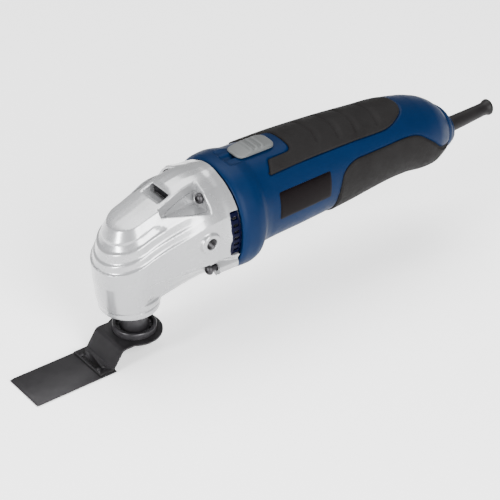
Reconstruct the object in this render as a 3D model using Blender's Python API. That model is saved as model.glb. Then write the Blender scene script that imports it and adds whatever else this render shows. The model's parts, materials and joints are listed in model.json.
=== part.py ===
"""Oscillating multi tool: a cast head on a barrel motor housing, with a cranked blade.

The tool lies along Y with its blade towards -Y, its cord end towards +Y and +Z up.
Sizes are in millimetres, measured along Y from the spindle's axis and along Z from
the surface under the blade. place() turns them into metres around the model's origin,
which is the middle of the tool's footprint.
"""

import math

import bmesh
import bpy
from mathutils import Matrix, Vector

COLLECTION = "oscillating_multi_tool"
GAP = 0.3                    # clearance kept between neighbouring pieces
TWO_PI = 2.0 * math.pi

# Overall layout, along Y from the spindle's axis
BLADE_TIP_Y = -86.5
SLEEVE_END_Y = 311.0
MID_Y = (BLADE_TIP_Y + SLEEVE_END_Y) / 2.0
MOTOR_Z = 84.6               # height of the motor's axis
JOINT_Y = 60.0               # plane between the head and the motor housing

# Blade and its holder
BLADE_WIDTH = 33.0
BLADE_THICK = 1.0
BLADE_REAR_Y = -25.7
HOLDER_WIDTH = 31.0
HOLDER_THICK = 1.2
HOLDER_FRONT_Y = -38.0
HOLDER_FOLD_Y = -27.0
HOLDER_CREST_Y = -19.0
PLATE_RADIUS = 18.7
PLATE_TOP = 14.6
SPOT_WELDS = 4

# Output flange, clamp and spindle
FLANGE_RADIUS = 14.7
FLANGE_RIM_Z = 19.7
FLANGE_FLOOR_Z = 16.6
FLANGE_BOSS_RADIUS = 9.0
NOSE_BOTTOM_Z = 36.1
SPINDLE_RADIUS = 6.0
SPINDLE_TOP_Z = 103.0
CLAMP_SCREW_RADIUS = 3.0

# Head: each level's height and radius round the drum, then its height and half width at the
# shoulder, where the sloping cap ends, and at the joint
DRUM_Y = -4.0
SHOULDER_Y = 34.0
HEAD_LEVELS = [
    (40.2, 19.0, 42.6, 12.0, 45.6, 12.0),
    (43.0, 21.2, 46.5, 18.5, 50.0, 20.5),
    (50.6, 22.3, 55.5, 23.4, 60.0, 29.8),
    (62.6, 23.8, 65.5, 29.5, 70.0, 34.8),
    (76.6, 24.4, 82.0, 31.6, 84.0, 36.8),
    (81.1, 24.4, 96.0, 31.8, 100.0, 31.8),
    (86.5, 22.3, 101.5, 29.4, 104.5, 28.6),
    (93.4, 20.1, 107.8, 26.4, 109.5, 23.8),
    (98.6, 17.1, 113.8, 21.4, 114.2, 16.8),
    (104.6, 13.5, 117.4, 14.5, 117.5, 8.5),
]
HEAD_WALL = 4.0
HANDLE_BOSS = (37.6, 84.3, 6.4, 4.0)     # y, z, boss radius, hole radius
HANDLE_BOSS_FACE_X = 33.4
HANDLE_HOLE_END_X = 21.4
SCREW_HEAD_Y = 40.0
HEAD_SCREWS = {"upper": (17.5, 110.0), "lower": (28.8, 61.2)}

# Barrel housing: y, centre height, half width, half height
BARREL = [
    (60.6, 81.2, 36.6, 36.8),
    (65.0, 81.5, 38.4, 38.5),
    (72.0, 81.8, 38.8, 38.8),
    (79.0, 82.3, 38.0, 38.0),
    (86.0, 85.0, 34.6, 34.6),
    (92.0, 86.0, 33.1, 33.2),
    (120.0, 86.7, 32.4, 32.4),
    (160.0, 87.0, 30.2, 30.3),
    (200.0, 87.2, 27.2, 27.2),
    (216.0, 86.6, 26.6, 26.6),
    (230.0, 84.2, 26.2, 26.2),
    (242.0, 82.0, 24.6, 24.6),
    (252.0, 80.6, 20.4, 20.6),
    (258.0, 78.6, 16.6, 16.8),
]
BARREL_WALL = 2.6
BARREL_SIDES = 32

# Grips and labels: thickness above the barrel
GRIP_LIFT = 0.8
GRIP_THICK = 1.3
TOP_GRIP_EDGE = [(92.0, 47.0), (195.0, 46.5), (214.0, 64.0)]
LOWER_GRIP_EDGE = [(144.0, -30.0), (147.0, -5.0), (150.0, 11.5), (162.0, 24.0),
                   (214.0, 24.0), (222.0, 20.5), (234.0, 7.0), (246.0, -9.0)]
SWITCH_BAY_HALF = 13.2
SWITCH_BAY_REAR_Y = 117.3
LABEL_THICK = 0.5

# Slide switch
SWITCH_FRONT_Y = 78.5
SWITCH_REAR_Y = 108.5
SWITCH_WIDTH = 16.0
SWITCH_BOTTOM_Z = 121.0
SWITCH_TOP_Z = 123.6
SWITCH_STEM_Y = 104.0
SWITCH_SLOT_WIDTH = 6.0
SWITCH_TRAVEL = 8.0

# Motor
SHAFT_RADIUS = 4.0
ROTOR_RADIUS = 13.4
STATOR_BORE = 14.2
STATOR_RADIUS = 23.0
STACK_FRONT_Y = 116.0
STACK_REAR_Y = 156.0
ECCENTRIC_OFFSET = 0.6

# Strain relief
CORD_Z = 74.6
SLEEVE_ROOT_Y = 264.0
SLEEVE_RISE = 2.2
CORD_HOLE_RADIUS = 3.6

PARTS = []


def place(x, y, z):
    """World position in metres of a point given in the tool's millimetres."""
    return Vector((x * 0.001, (y - MID_Y) * 0.001, z * 0.001))


def clear_scene():
    """Remove every object that the file started with."""
    for item in list(bpy.data.objects):
        bpy.data.objects.remove(item, do_unlink=True)


def new_collection(name):
    """Make a collection and link it to the scene."""
    group = bpy.data.collections.new(name)
    bpy.context.scene.collection.children.link(group)
    return group


clear_scene()
MODEL = new_collection(COLLECTION)
CUTTERS = new_collection("cutters")


def finish(name, red, green, blue, roughness, metallic=0.0):
    """Make a Principled material from its colour, roughness and metallic value."""
    surface = bpy.data.materials.new(name)
    surface.use_nodes = True
    shader = surface.node_tree.nodes["Principled BSDF"]
    shader.inputs["Base Color"].default_value = (red, green, blue, 1.0)
    shader.inputs["Roughness"].default_value = roughness
    shader.inputs["Metallic"].default_value = metallic
    return surface


SILVER_PAINT = finish("silver_paint", 0.56, 0.57, 0.58, 0.32, 0.2)
BLUE_PLASTIC = finish("blue_plastic", 0.004, 0.055, 0.185, 0.35)
NAVY_PLASTIC = finish("navy_plastic", 0.003, 0.006, 0.05, 0.45)
GRIP_RUBBER = finish("grip_rubber", 0.045, 0.043, 0.042, 0.7)
SLEEVE_RUBBER = finish("sleeve_rubber", 0.02, 0.018, 0.018, 0.6)
SWITCH_PLASTIC = finish("switch_plastic", 0.30, 0.31, 0.31, 0.5)
BLACK_PLASTIC = finish("black_plastic", 0.02, 0.02, 0.022, 0.5)
LABEL_FILM = finish("label_film", 0.012, 0.009, 0.01, 0.3)
BLADE_STEEL = finish("blade_steel", 0.035, 0.034, 0.036, 0.4, 0.6)
DARK_STEEL = finish("dark_steel", 0.03, 0.028, 0.03, 0.35, 0.7)
BRIGHT_STEEL = finish("bright_steel", 0.6, 0.6, 0.6, 0.25, 1.0)
CORE_STEEL = finish("core_steel", 0.25, 0.25, 0.27, 0.5, 0.9)
COPPER = finish("copper", 0.72, 0.31, 0.15, 0.35, 1.0)
BRASS = finish("brass", 0.65, 0.48, 0.2, 0.35, 1.0)
CARBON = finish("carbon", 0.03, 0.03, 0.03, 0.8)


def add_part(name, mesh, material, smooth_angle=35.0, collection=None):
    """Put a finished mesh in the model as a named sub-part."""
    mesh.name = name
    piece = bpy.data.objects.new(name, mesh)
    (collection or MODEL).objects.link(piece)
    mesh.materials.clear()
    if material:
        mesh.materials.append(material)
        mesh.shade_smooth()
        mesh.set_sharp_from_angle(angle=math.radians(smooth_angle))
        PARTS.append(piece)
    return piece


def mesh_from(shape):
    """Turn a bmesh into a mesh with its faces pointing out."""
    bmesh.ops.recalc_face_normals(shape, faces=shape.faces)
    mesh = bpy.data.meshes.new("shape")
    shape.to_mesh(mesh)
    shape.free()
    return mesh


def loft(sections, closed_ring=False):
    """Join sections with the same number of points, and cap the ends unless they form a ring."""
    shape = bmesh.new()
    rings = [[shape.verts.new(point) for point in section] for section in sections]
    count = len(rings[0])
    pairs = list(zip(rings, rings[1:]))
    if closed_ring:
        pairs.append((rings[-1], rings[0]))
    for near, far in pairs:
        for i in range(count):
            j = (i + 1) % count
            shape.faces.new((near[i], near[j], far[j], far[i]))
    if not closed_ring:
        shape.faces.new(rings[0])
        shape.faces.new(rings[-1])
    return mesh_from(shape)


def turned(profile, axis, centre, steps=32):
    """Turn a closed or axis-to-axis profile of (radius, distance) about an axis through centre."""
    shape = bmesh.new()
    corners = [shape.verts.new((radius, 0.0, along)) for radius, along in profile]
    edges = [shape.edges.new(pair) for pair in zip(corners, corners[1:])]
    if profile[0][0] > 0.0 or profile[-1][0] > 0.0:
        edges.append(shape.edges.new((corners[-1], corners[0])))
    bmesh.ops.spin(shape, geom=corners + edges, axis=(0, 0, 1), cent=(0, 0, 0),
                   steps=steps, angle=TWO_PI, use_duplicate=False)
    bmesh.ops.remove_doubles(shape, verts=shape.verts, dist=0.0005)
    turn = Vector((0, 0, 1)).rotation_difference(Vector(axis)).to_matrix().to_4x4()
    bmesh.ops.transform(shape, matrix=turn, verts=shape.verts)
    for corner in shape.verts:
        x, y, z = corner.co + Vector(centre)
        corner.co = place(x, y, z)
    return mesh_from(shape)


def box(low, high, bevel=0.0):
    """A box between two corners, with its edges bevelled when bevel is given."""
    shape = bmesh.new()
    bmesh.ops.create_cube(shape, size=1.0)
    for corner in shape.verts:
        spot = [low[i] + (corner.co[i] + 0.5) * (high[i] - low[i]) for i in range(3)]
        corner.co = place(*spot)
    if bevel:
        bmesh.ops.bevel(shape, geom=shape.edges[:], offset=bevel * 0.001, segments=2,
                        affect="EDGES", profile=0.5)
    return mesh_from(shape)


def cylinder(axis, centre, radius, length, steps=32, start=0.0):
    """A solid cylinder that starts at centre and runs along axis."""
    profile = [(0.0, start), (radius, start), (radius, start + length), (0.0, start + length)]
    return turned(profile, axis, centre, steps)


def ring(axis, centre, inner, outer, low, high, steps=32):
    """A plain ring about an axis."""
    return turned([(inner, low), (outer, low), (outer, high), (inner, high)], axis, centre, steps)


def apply_boolean(piece, tools, operation="DIFFERENCE"):
    """Cut or join a piece with each tool mesh, and leave the result as the piece's own mesh."""
    for tool in tools:
        cutter = add_part(f"{piece.name}_cutter", tool, None, collection=CUTTERS)
        cutter.hide_render = True
        cutter.display_type = "WIRE"
        cut = piece.modifiers.new("cut", "BOOLEAN")
        cut.operation = operation
        cut.solver = "EXACT"
        cut.object = cutter
    view = bpy.context.evaluated_depsgraph_get()
    result = bpy.data.meshes.new_from_object(piece.evaluated_get(view))
    piece.modifiers.clear()
    piece.data = result
    result.name = piece.name
    return piece


def super_point(angle, half_x, half_z, power):
    """A point of a superellipse, with angle 0 at +X and 90 degrees at +Z."""
    c, s = math.cos(angle), math.sin(angle)
    x = half_x * math.copysign(abs(c) ** (2.0 / power), c)
    z = half_z * math.copysign(abs(s) ** (2.0 / power), s)
    return x, z


def barrel_size(y):
    """Centre height, half width and half height of the barrel at y."""
    if y <= BARREL[0][0]:
        return BARREL[0][1:]
    for near, far in zip(BARREL, BARREL[1:]):
        if y <= far[0]:
            share = (y - near[0]) / (far[0] - near[0])
            return tuple(a + (b - a) * share for a, b in zip(near[1:], far[1:]))
    return BARREL[-1][1:]


def barrel_point(y, angle, lift=0.0):
    """A point on the barrel's surface, or lift above it."""
    centre, half_x, half_z = barrel_size(y)
    x, z = super_point(angle, half_x + lift, half_z + lift, 2.15)
    return place(x, y, centre + z)


def barrel_ring(y, lift, count=BARREL_SIDES, at_y=None):
    """A closed section of the barrel at y, drawn at at_y when that is given."""
    points = [barrel_point(y, TWO_PI * i / count, lift) for i in range(count)]
    if at_y is not None:
        for point in points:
            point.y = place(0, at_y, 0).y
    return points


# ---------------------------------------------------------------- head

def head_outline(level, inset, front_steps=16, side_steps=2, rear_y=JOINT_Y):
    """A level of the head: a half circle in front, and sides that run by the shoulder to the joint."""
    drum_z, radius, shoulder_z, shoulder_half, joint_z, joint_half = level
    radius -= inset
    side = []
    for near, far in (((radius, DRUM_Y, drum_z), (shoulder_half - inset, SHOULDER_Y, shoulder_z)),
                      ((shoulder_half - inset, SHOULDER_Y, shoulder_z), (joint_half - inset, rear_y, joint_z))):
        for i in range(side_steps):
            share = (i + 1.0) / side_steps
            side.append(tuple(a + (b - a) * share for a, b in zip(near, far)))
    points = [(-x, y, z) for x, y, z in reversed(side)]
    mean_rise = (shoulder_z - drum_z) / (SHOULDER_Y - DRUM_Y)
    for i in range(front_steps + 1):
        angle = math.pi + math.pi * i / front_steps
        y = DRUM_Y + radius * math.sin(angle)
        points.append((radius * math.cos(angle), y, drum_z + mean_rise * (y - DRUM_Y)))
    points += side
    return [place(x, y, z) for x, y, z in points]


def head_cavity():
    """The hollow of the head, open at the joint."""
    levels = [list(level) for level in HEAD_LEVELS[2:-1]]
    levels[0] = [48.5, levels[0][1], 50.0, levels[0][3], 52.5, levels[0][5]]
    for column in (0, 2, 4):
        levels[-1][column] -= 1.0
    return loft([head_outline(level, HEAD_WALL, rear_y=JOINT_Y + 5.0) for level in levels])


def screw_places():
    """Name, x and z of the four screws that hold the head to the barrel."""
    spots = []
    for row, (x, z) in HEAD_SCREWS.items():
        for side, sign in (("left", 1.0), ("right", -1.0)):
            spots.append((f"head_screw_{row}_{side}", sign * x, z))
    return spots


def build_head():
    """The cast head with its cavity, spindle bore, screw pockets and side-handle bosses."""
    head = add_part("gearbox_housing", loft([head_outline(level, 0.0) for level in HEAD_LEVELS]),
                    SILVER_PAINT)
    boss_y, boss_z, boss_radius, hole_radius = HANDLE_BOSS
    nose = [(0.0, NOSE_BOTTOM_Z), (19.0, NOSE_BOTTOM_Z), (20.4, NOSE_BOTTOM_Z + 2.2), (20.4, 46.0), (0.0, 46.0)]
    apply_boolean(head, [turned(nose, (0, 0, 1), (0, DRUM_Y, 0), 40)], "UNION")
    apply_boolean(head, [head_cavity()])
    boss_start = HANDLE_HOLE_END_X - 2.5
    bosses = [cylinder((side, 0, 0), (0, boss_y, boss_z), boss_radius, HANDLE_BOSS_FACE_X - boss_start, 24,
                       boss_start) for side in (1, -1)]
    apply_boolean(head, bosses, "UNION")
    tools = [cylinder((0, 0, 1), (0, 0, 30.0), 12.4, 20.0, 32),
             cylinder((0, 0, 1), (0, 0, 90.0), 8.4, SPINDLE_TOP_Z + GAP - 90.0, 32)]
    tools += [cylinder((side, 0, 0), (0, boss_y, boss_z), hole_radius, 14.0, 24, HANDLE_HOLE_END_X)
              for side in (1, -1)]
    for _, x, z in screw_places():
        tools.append(cylinder((0, 1, 0), (x, 0, z), 4.6, 20.0, 16, SCREW_HEAD_Y - 20.0))
        tools.append(cylinder((0, 1, 0), (x, 0, z), 2.3, 40.0, 16, SCREW_HEAD_Y - 1.0))
    apply_boolean(head, tools)
    return head


def build_head_screws():
    """Pan-head screws that run back from the pockets into the barrel's bosses."""
    for name, x, z in screw_places():
        profile = [(0.0, -3.2), (2.4, -3.0), (3.6, -1.2), (3.6, -GAP), (2.0, -GAP), (2.0, 30.0), (0.0, 30.0)]
        add_part(name, turned(profile, (0, 1, 0), (x, SCREW_HEAD_Y, z), 16), DARK_STEEL)


def build_spindle():
    """Output spindle with the oscillating fork, bearings, seal and retaining ring."""
    spindle = [(0.0, 22.0), (5.0, 22.0), (5.0, 33.4), (SPINDLE_RADIUS, 33.4), (SPINDLE_RADIUS, 76.0),
               (5.0, 76.0), (5.0, SPINDLE_TOP_Z), (0.0, SPINDLE_TOP_Z)]
    add_part("output_spindle", turned(spindle, (0, 0, 1), (0, 0, 0), 24), BRIGHT_STEEL)
    add_part("spindle_lower_bearing", ring((0, 0, 1), (0, 0, 0), SPINDLE_RADIUS + GAP, 12.1, 40.6, 48.6),
             BRIGHT_STEEL)
    add_part("spindle_upper_bearing", ring((0, 0, 1), (0, 0, 0), 5.0 + GAP, 8.1, 98.8, 102.8, 24),
             BRIGHT_STEEL)
    add_part("spindle_seal", ring((0, 0, 1), (0, 0, 0), SPINDLE_RADIUS + GAP, 12.1, 37.0, 40.2),
             SLEEVE_RUBBER)
    add_part("spindle_retaining_ring", ring((0, 0, 1), (0, 0, 0), SPINDLE_RADIUS + GAP, 9.4, 49.0, 50.4, 24),
             DARK_STEEL)


def build_fork():
    """Fork that turns the spindle a little to each side as the eccentric swings between its prongs."""
    fork = add_part("oscillating_fork", ring((0, 0, 1), (0, 0, 0), 5.0 + GAP, 10.5, 77.0, 92.0, 24),
                    CORE_STEEL)
    arms = [box((side * 9.8 if side > 0 else -13.6, 4.0, 77.0),
                (13.6 if side > 0 else -9.8, 33.0, 92.0)) for side in (1, -1)]
    arms.append(box((-13.6, 7.0, 77.0), (13.6, 13.0, 92.0)))
    apply_boolean(fork, arms, "UNION")


def build_flange():
    """Cup-shaped tool flange under the nose."""
    profile = [(0.0, PLATE_TOP + GAP), (FLANGE_RADIUS, PLATE_TOP + GAP), (FLANGE_RADIUS, FLANGE_RIM_Z),
               (FLANGE_RADIUS - 2.2, FLANGE_RIM_Z), (FLANGE_RADIUS - 2.6, FLANGE_FLOOR_Z),
               (FLANGE_BOSS_RADIUS, FLANGE_FLOOR_Z), (FLANGE_BOSS_RADIUS - 0.6, 33.0),
               (5.0 + GAP, 33.0), (5.0 + GAP, 22.0 - GAP), (CLAMP_SCREW_RADIUS + GAP, 22.0 - GAP),
               (CLAMP_SCREW_RADIUS + GAP, PLATE_TOP + GAP)]
    add_part("tool_flange", turned(profile[1:], (0, 0, 1), (0, 0, 0), 32), DARK_STEEL)


def holder_outline(inner_hole):
    """Side profile points of the cranked holder as (y, underside z)."""
    return [(HOLDER_FRONT_Y, BLADE_THICK + GAP), (HOLDER_FOLD_Y, BLADE_THICK + GAP),
            (HOLDER_CREST_Y, PLATE_TOP - HOLDER_THICK), (inner_hole, PLATE_TOP - HOLDER_THICK)]


def build_holder():
    """Cranked holder: a flat pad on the blade, a steep step and a round clamping plate."""
    half = HOLDER_WIDTH / 2.0
    sections = []
    for y, z in holder_outline(-4.0):
        sections.append([place(-half, y, z), place(half, y, z),
                         place(half, y, z + HOLDER_THICK), place(-half, y, z + HOLDER_THICK)])
    holder = add_part("accessory_holder", loft(sections), BLADE_STEEL)
    plate = cylinder((0, 0, 1), (0, 0, PLATE_TOP - HOLDER_THICK), PLATE_RADIUS, HOLDER_THICK, 40)
    apply_boolean(holder, [plate], "UNION")
    hole = cylinder((0, 0, 1), (0, 0, 10.0), CLAMP_SCREW_RADIUS + GAP, 8.0, 24)
    apply_boolean(holder, [hole])


def build_blade():
    """Flat straight-edged blade under the holder's pad, ground thin along its front edge."""
    half = BLADE_WIDTH / 2.0
    profile = [(BLADE_TIP_Y, 0.35), (BLADE_TIP_Y + 3.0, BLADE_THICK), (BLADE_REAR_Y, BLADE_THICK)]
    sections = []
    for y, top in profile:
        sections.append([place(-half, y, 0.0), place(half, y, 0.0), place(half, y, top), place(-half, y, top)])
    add_part("blade", loft(sections), BLADE_STEEL)


def build_clamp():
    """Washer and hex-socket screw that clamp the holder to the flange."""
    under = PLATE_TOP - HOLDER_THICK - GAP
    add_part("clamp_washer", ring((0, 0, 1), (0, 0, 0), CLAMP_SCREW_RADIUS + GAP, 10.0, under - 2.0, under, 32),
             DARK_STEEL)
    head_top = under - 2.0 - GAP
    profile = [(0.0, head_top - 2.6), (2.4, head_top - 2.6), (2.5, head_top - 5.4), (6.6, head_top - 5.4),
               (7.2, head_top - 4.6), (7.2, head_top), (CLAMP_SCREW_RADIUS, head_top),
               (CLAMP_SCREW_RADIUS, 21.2), (0.0, 21.2)]
    add_part("clamp_screw", turned(profile, (0, 0, 1), (0, 0, 0), 24), DARK_STEEL)


# ---------------------------------------------------------------- barrel and what is on it

def barrel_stops():
    """The y of each barrel section."""
    return [station[0] for station in BARREL]


def build_barrel():
    """One-piece motor housing, open in front, with the slot for the switch."""
    stops = barrel_stops()
    outer = [barrel_ring(y, 0.0) for y in stops]
    inner_stops = [y for y in stops if y < 255.0]
    inner = [barrel_ring(y, -BARREL_WALL) for y in inner_stops]
    inner.append(barrel_ring(inner_stops[-1], -BARREL_WALL - 3.0, at_y=stops[-1]))
    barrel = add_part("motor_housing", loft(outer + inner[::-1], closed_ring=True), BLUE_PLASTIC)
    apply_boolean(barrel, [cylinder((0, 1, 0), (x, 0, z), 4.2, 13.5, 20, 64.5)
                           for _, x, z in screw_places()], "UNION")
    tools = [cylinder((0, 1, 0), (x, 0, z), 2.3, 16.0, 16, 58.0) for _, x, z in screw_places()]
    tools.append(box((-SWITCH_SLOT_WIDTH / 2.0, SWITCH_STEM_Y - SWITCH_TRAVEL - 0.6, 105.0),
                     (SWITCH_SLOT_WIDTH / 2.0, SWITCH_STEM_Y + 4.2, 128.0)))
    apply_boolean(barrel, tools)
    return barrel


def build_rear_cap():
    """Cap that closes the barrel's rear and carries the cord boss."""
    y = BARREL[-1][0]
    cap_y = y + GAP
    rings = [barrel_ring(y, 0.0, at_y=cap_y), barrel_ring(y, -0.8, at_y=cap_y + 4.0)]
    for radius, at_y in ((13.0, cap_y + 6.0), (11.6, SLEEVE_ROOT_Y + 4.0), (11.0, SLEEVE_ROOT_Y + 5.0)):
        rings.append([place(radius * math.cos(a), at_y, CORD_Z + radius * math.sin(a))
                      for a in (TWO_PI * i / BARREL_SIDES for i in range(BARREL_SIDES))])
    hole = []
    for radius, at_y in ((6.2, SLEEVE_ROOT_Y + 5.0), (6.2, cap_y)):
        hole.append([place(radius * math.cos(a), at_y, CORD_Z + radius * math.sin(a))
                     for a in (TWO_PI * i / BARREL_SIDES for i in range(BARREL_SIDES))])
    add_part("rear_cap", loft(rings + hole, closed_ring=True), BLUE_PLASTIC)


def skin(stops, spread, lift, thick, across=10):
    """A patch that lies over the barrel: spread(y) gives its two edge angles in degrees."""
    sections = []
    for y in stops:
        low, high = spread(y)
        angles = [math.radians(low + (high - low) * i / across) for i in range(across + 1)]
        under = [barrel_point(y, a, lift) for a in angles]
        over = [barrel_point(y, a, lift + thick) for a in reversed(angles)]
        sections.append(under + over)
    return loft(sections)


def grip_edge(table, y):
    """Edge angle of a grip at y, in degrees, from a short table of (y, angle)."""
    for near, far in zip(table, table[1:]):
        if y <= far[0]:
            return near[1] + (far[1] - near[1]) * (y - near[0]) / (far[0] - near[0])
    return table[-1][1]


def build_grips():
    """Soft grips over the barrel's back, with a bay for the switch, and round its sides and belly."""
    top_stops = [92.0, 100.0, 108.0, 118.0, 130.0, 142.0, 160.0, 180.0, 200.0, 208.0, 214.0]

    def top_spread(y):
        low = grip_edge(TOP_GRIP_EDGE, y)
        return low, 180.0 - low

    top = add_part("top_grip", skin(top_stops, top_spread, GRIP_LIFT, GRIP_THICK, 12), GRIP_RUBBER)
    apply_boolean(top, [box((-SWITCH_BAY_HALF, 85.0, 100.0), (SWITCH_BAY_HALF, SWITCH_BAY_REAR_Y, 130.0))])
    low_stops = [144.0, 144.8, 145.6, 147.0, 148.5, 150.0, 153.0, 157.0, 162.0, 170.0, 185.0, 200.0, 214.0,
                 222.0, 230.0, 238.0, 246.0]

    def low_spread(y):
        up = grip_edge(LOWER_GRIP_EDGE, y)
        return -180.0 - up, up

    add_part("lower_grip", skin(low_stops, low_spread, GRIP_LIFT, GRIP_THICK, 24), GRIP_RUBBER)


def build_labels():
    """Blank name plate on the left side and rating plate on the right."""
    plate_stops = [94.0, 107.0, 120.0, 138.0]
    add_part("side_label", skin(plate_stops, lambda y: (-8.5, 23.5), GAP, LABEL_THICK, 4), LABEL_FILM)
    add_part("rating_label", skin(plate_stops, lambda y: (156.5, 188.5), GAP, LABEL_THICK, 4), LABEL_FILM)


def build_switch():
    """Sliding thumb switch, its link and the switch body in the barrel."""
    half = SWITCH_WIDTH / 2.0
    slider = add_part("switch_slider", box((-half, SWITCH_FRONT_Y, SWITCH_BOTTOM_Z),
                                           (half, SWITCH_REAR_Y, SWITCH_TOP_Z), 1.2), SWITCH_PLASTIC)
    ribs = []
    for i in range(3):
        rib_y = SWITCH_FRONT_Y + 13.0 + 4.0 * i
        ribs.append(box((-half + 2.0, rib_y, SWITCH_TOP_Z - 1.0), (half - 2.0, rib_y + 1.6, SWITCH_TOP_Z + 0.9)))
    link_top = 109.6
    stem = box((-2.2, SWITCH_STEM_Y, link_top + GAP), (2.2, SWITCH_STEM_Y + 3.6, SWITCH_BOTTOM_Z + 1.0))
    apply_boolean(slider, ribs + [stem], "UNION")
    add_part("switch_link", box((-2.2, SWITCH_STEM_Y, 108.0), (2.2, 212.0, link_top), 0.3), BLACK_PLASTIC)
    add_part("switch_body", box((-8.0, 202.0, 97.0), (8.0, 222.0, 107.4), 0.8), BLACK_PLASTIC)


def build_sleeve():
    """Strain relief: a tapered rubber sleeve that rises a little towards its flared lip."""
    profile = [(6.0, 250.0), (7.6, 250.5), (7.6, 256.5), (5.8, 257.0), (5.7, 272.0), (5.2, 290.0), (4.8, 305.0),
               (5.0, 307.0), (5.9, 308.6), (5.9, 310.2), (5.2, SLEEVE_END_Y),
               (CORD_HOLE_RADIUS, SLEEVE_END_Y), (CORD_HOLE_RADIUS, 250.0)]
    sleeve = turned(profile, (0, 1, 0), (0, 0, CORD_Z), 20)
    root = place(0, SLEEVE_ROOT_Y + 6.0, 0).y
    reach = (SLEEVE_END_Y - SLEEVE_ROOT_Y) * 0.001
    for corner in sleeve.vertices:
        share = max(0.0, (corner.co.y - root) / reach)
        corner.co.z += SLEEVE_RISE * 0.001 * share
    add_part("strain_relief", sleeve, SLEEVE_RUBBER)


def build_cord_clamp():
    """Clamp that would hold the cord inside the barrel, with its two screws."""
    bar_top = CORD_Z - CORD_HOLE_RADIUS - GAP
    clamp = add_part("cord_clamp", box((-11.0, 238.0, bar_top - 4.0), (11.0, 245.0, bar_top), 0.4), BLACK_PLASTIC)
    holes = [cylinder((0, 0, 1), (x, 241.5, bar_top - 6.0), 1.7, 9.0, 12) for x in (-7.5, 7.5)]
    apply_boolean(clamp, holes)
    for side, x in (("left", 7.5), ("right", -7.5)):
        profile = [(0.0, 0.0), (1.4, 0.0), (1.4, 7.6), (2.8, 7.6), (2.4, 9.0), (0.0, 9.2)]
        add_part(f"cord_clamp_screw_{side}", turned(profile, (0, 0, 1), (x, 241.5, bar_top - 7.3), 12),
                 BRIGHT_STEEL)


# ---------------------------------------------------------------- drive

def build_baffle():
    """Air baffle ring between the head and the fan."""
    profile = [(22.6, 67.5), (25.3, 67.5), (25.3, 79.0), (23.6, 79.0), (22.6, 77.0)]
    add_part("air_baffle", turned(profile, (0, 1, 0), (0, 0, MOTOR_Z), 32), NAVY_PLASTIC)


def build_bearing_plate():
    """Plate behind the head that carries the motor's front bearing."""
    centre = (0, 0, MOTOR_Z - 3.0)
    profile = [(16.4, 61.0), (33.0, 61.0), (33.0, 63.6), (16.4, 63.6)]
    plate = add_part("motor_bearing_plate", turned(profile, (0, 1, 0), centre, 40), CORE_STEEL)
    hub = [(11.4, 55.0), (18.0, 55.0), (21.0, 61.6), (21.0, 63.0), (14.5, 66.5), (11.4, 66.5)]
    apply_boolean(plate, [turned(hub, (0, 1, 0), (0, 0, MOTOR_Z), 32)], "UNION")
    apply_boolean(plate, [cylinder((0, 1, 0), (x, 0, z), 2.6, 6.0, 16, 60.0) for _, x, z in screw_places()]
                  + [cylinder((0, 1, 0), (0, 0, MOTOR_Z), 11.4, 14.0, 32, 54.0)])
    add_part("front_motor_bearing", ring((0, 1, 0), (0, 0, MOTOR_Z), SHAFT_RADIUS + GAP, 11.1, 57.0, 65.0, 24),
             BRIGHT_STEEL)


def build_rotor():
    """Armature, commutator, fan and eccentric: everything that spins on the motor's axis."""
    axis, centre = (0, 1, 0), (0, 0, MOTOR_Z)
    shaft = [(0.0, 36.0), (SHAFT_RADIUS, 36.0), (SHAFT_RADIUS, 204.0), (0.0, 204.0)]
    add_part("armature_shaft", turned(shaft, axis, centre, 20), BRIGHT_STEEL)
    inner = SHAFT_RADIUS + GAP
    add_part("armature_core", ring(axis, centre, inner, ROTOR_RADIUS, STACK_FRONT_Y, STACK_REAR_Y, 32), CORE_STEEL)
    for name, low, high in (("armature_winding_front", STACK_FRONT_Y - 10.0, STACK_FRONT_Y - GAP),
                            ("armature_winding_rear", STACK_REAR_Y + GAP, STACK_REAR_Y + 10.0)):
        add_part(name, ring(axis, centre, inner, 11.6, low, high, 24), COPPER)
    add_part("commutator", ring(axis, centre, inner, 9.6, 170.0, 184.0, 24), COPPER)
    wheel = [(inner, 74.0), (9.0, 74.0), (9.0, 90.6), (28.0, 90.6), (28.0, 92.6), (inner, 92.6)]
    fan = add_part("cooling_fan", turned(wheel, axis, centre, 32), BLACK_PLASTIC)
    blades = []
    for i in range(9):
        turn = Matrix.Rotation(TWO_PI * (i + 0.2) / 9, 4, "Y")
        blade = box((-0.7, 79.5, 7.3), (0.7, 91.6, 26.5))
        shift = Matrix.Translation(place(0, MID_Y, MOTOR_Z))
        blade.transform(shift @ turn)
        blades.append(blade)
    apply_boolean(fan, blades, "UNION")
    eccentric = (0, 0, MOTOR_Z + ECCENTRIC_OFFSET)
    add_part("eccentric", cylinder(axis, eccentric, 3.4, 13.0, 20, 22.5), BRIGHT_STEEL)
    add_part("eccentric_bearing", ring(axis, eccentric, 3.4 + GAP, 8.0, 24.0, 32.0, 24), BRIGHT_STEEL)


def build_rear_bearing():
    """Rear motor bearing in its rubber boot."""
    axis, centre = (0, 1, 0), (0, 0, MOTOR_Z)
    add_part("rear_motor_bearing", ring(axis, centre, SHAFT_RADIUS + GAP, 9.4, 194.5, 201.5, 24), BRIGHT_STEEL)
    boot = [(9.4 + GAP, 194.0), (11.6, 194.0), (11.6, 205.4), (0.0, 205.4), (0.0, 204.0 + GAP), (9.7, 204.0 + GAP)]
    add_part("rear_bearing_boot", turned(boot, axis, centre, 24), SLEEVE_RUBBER)


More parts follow.
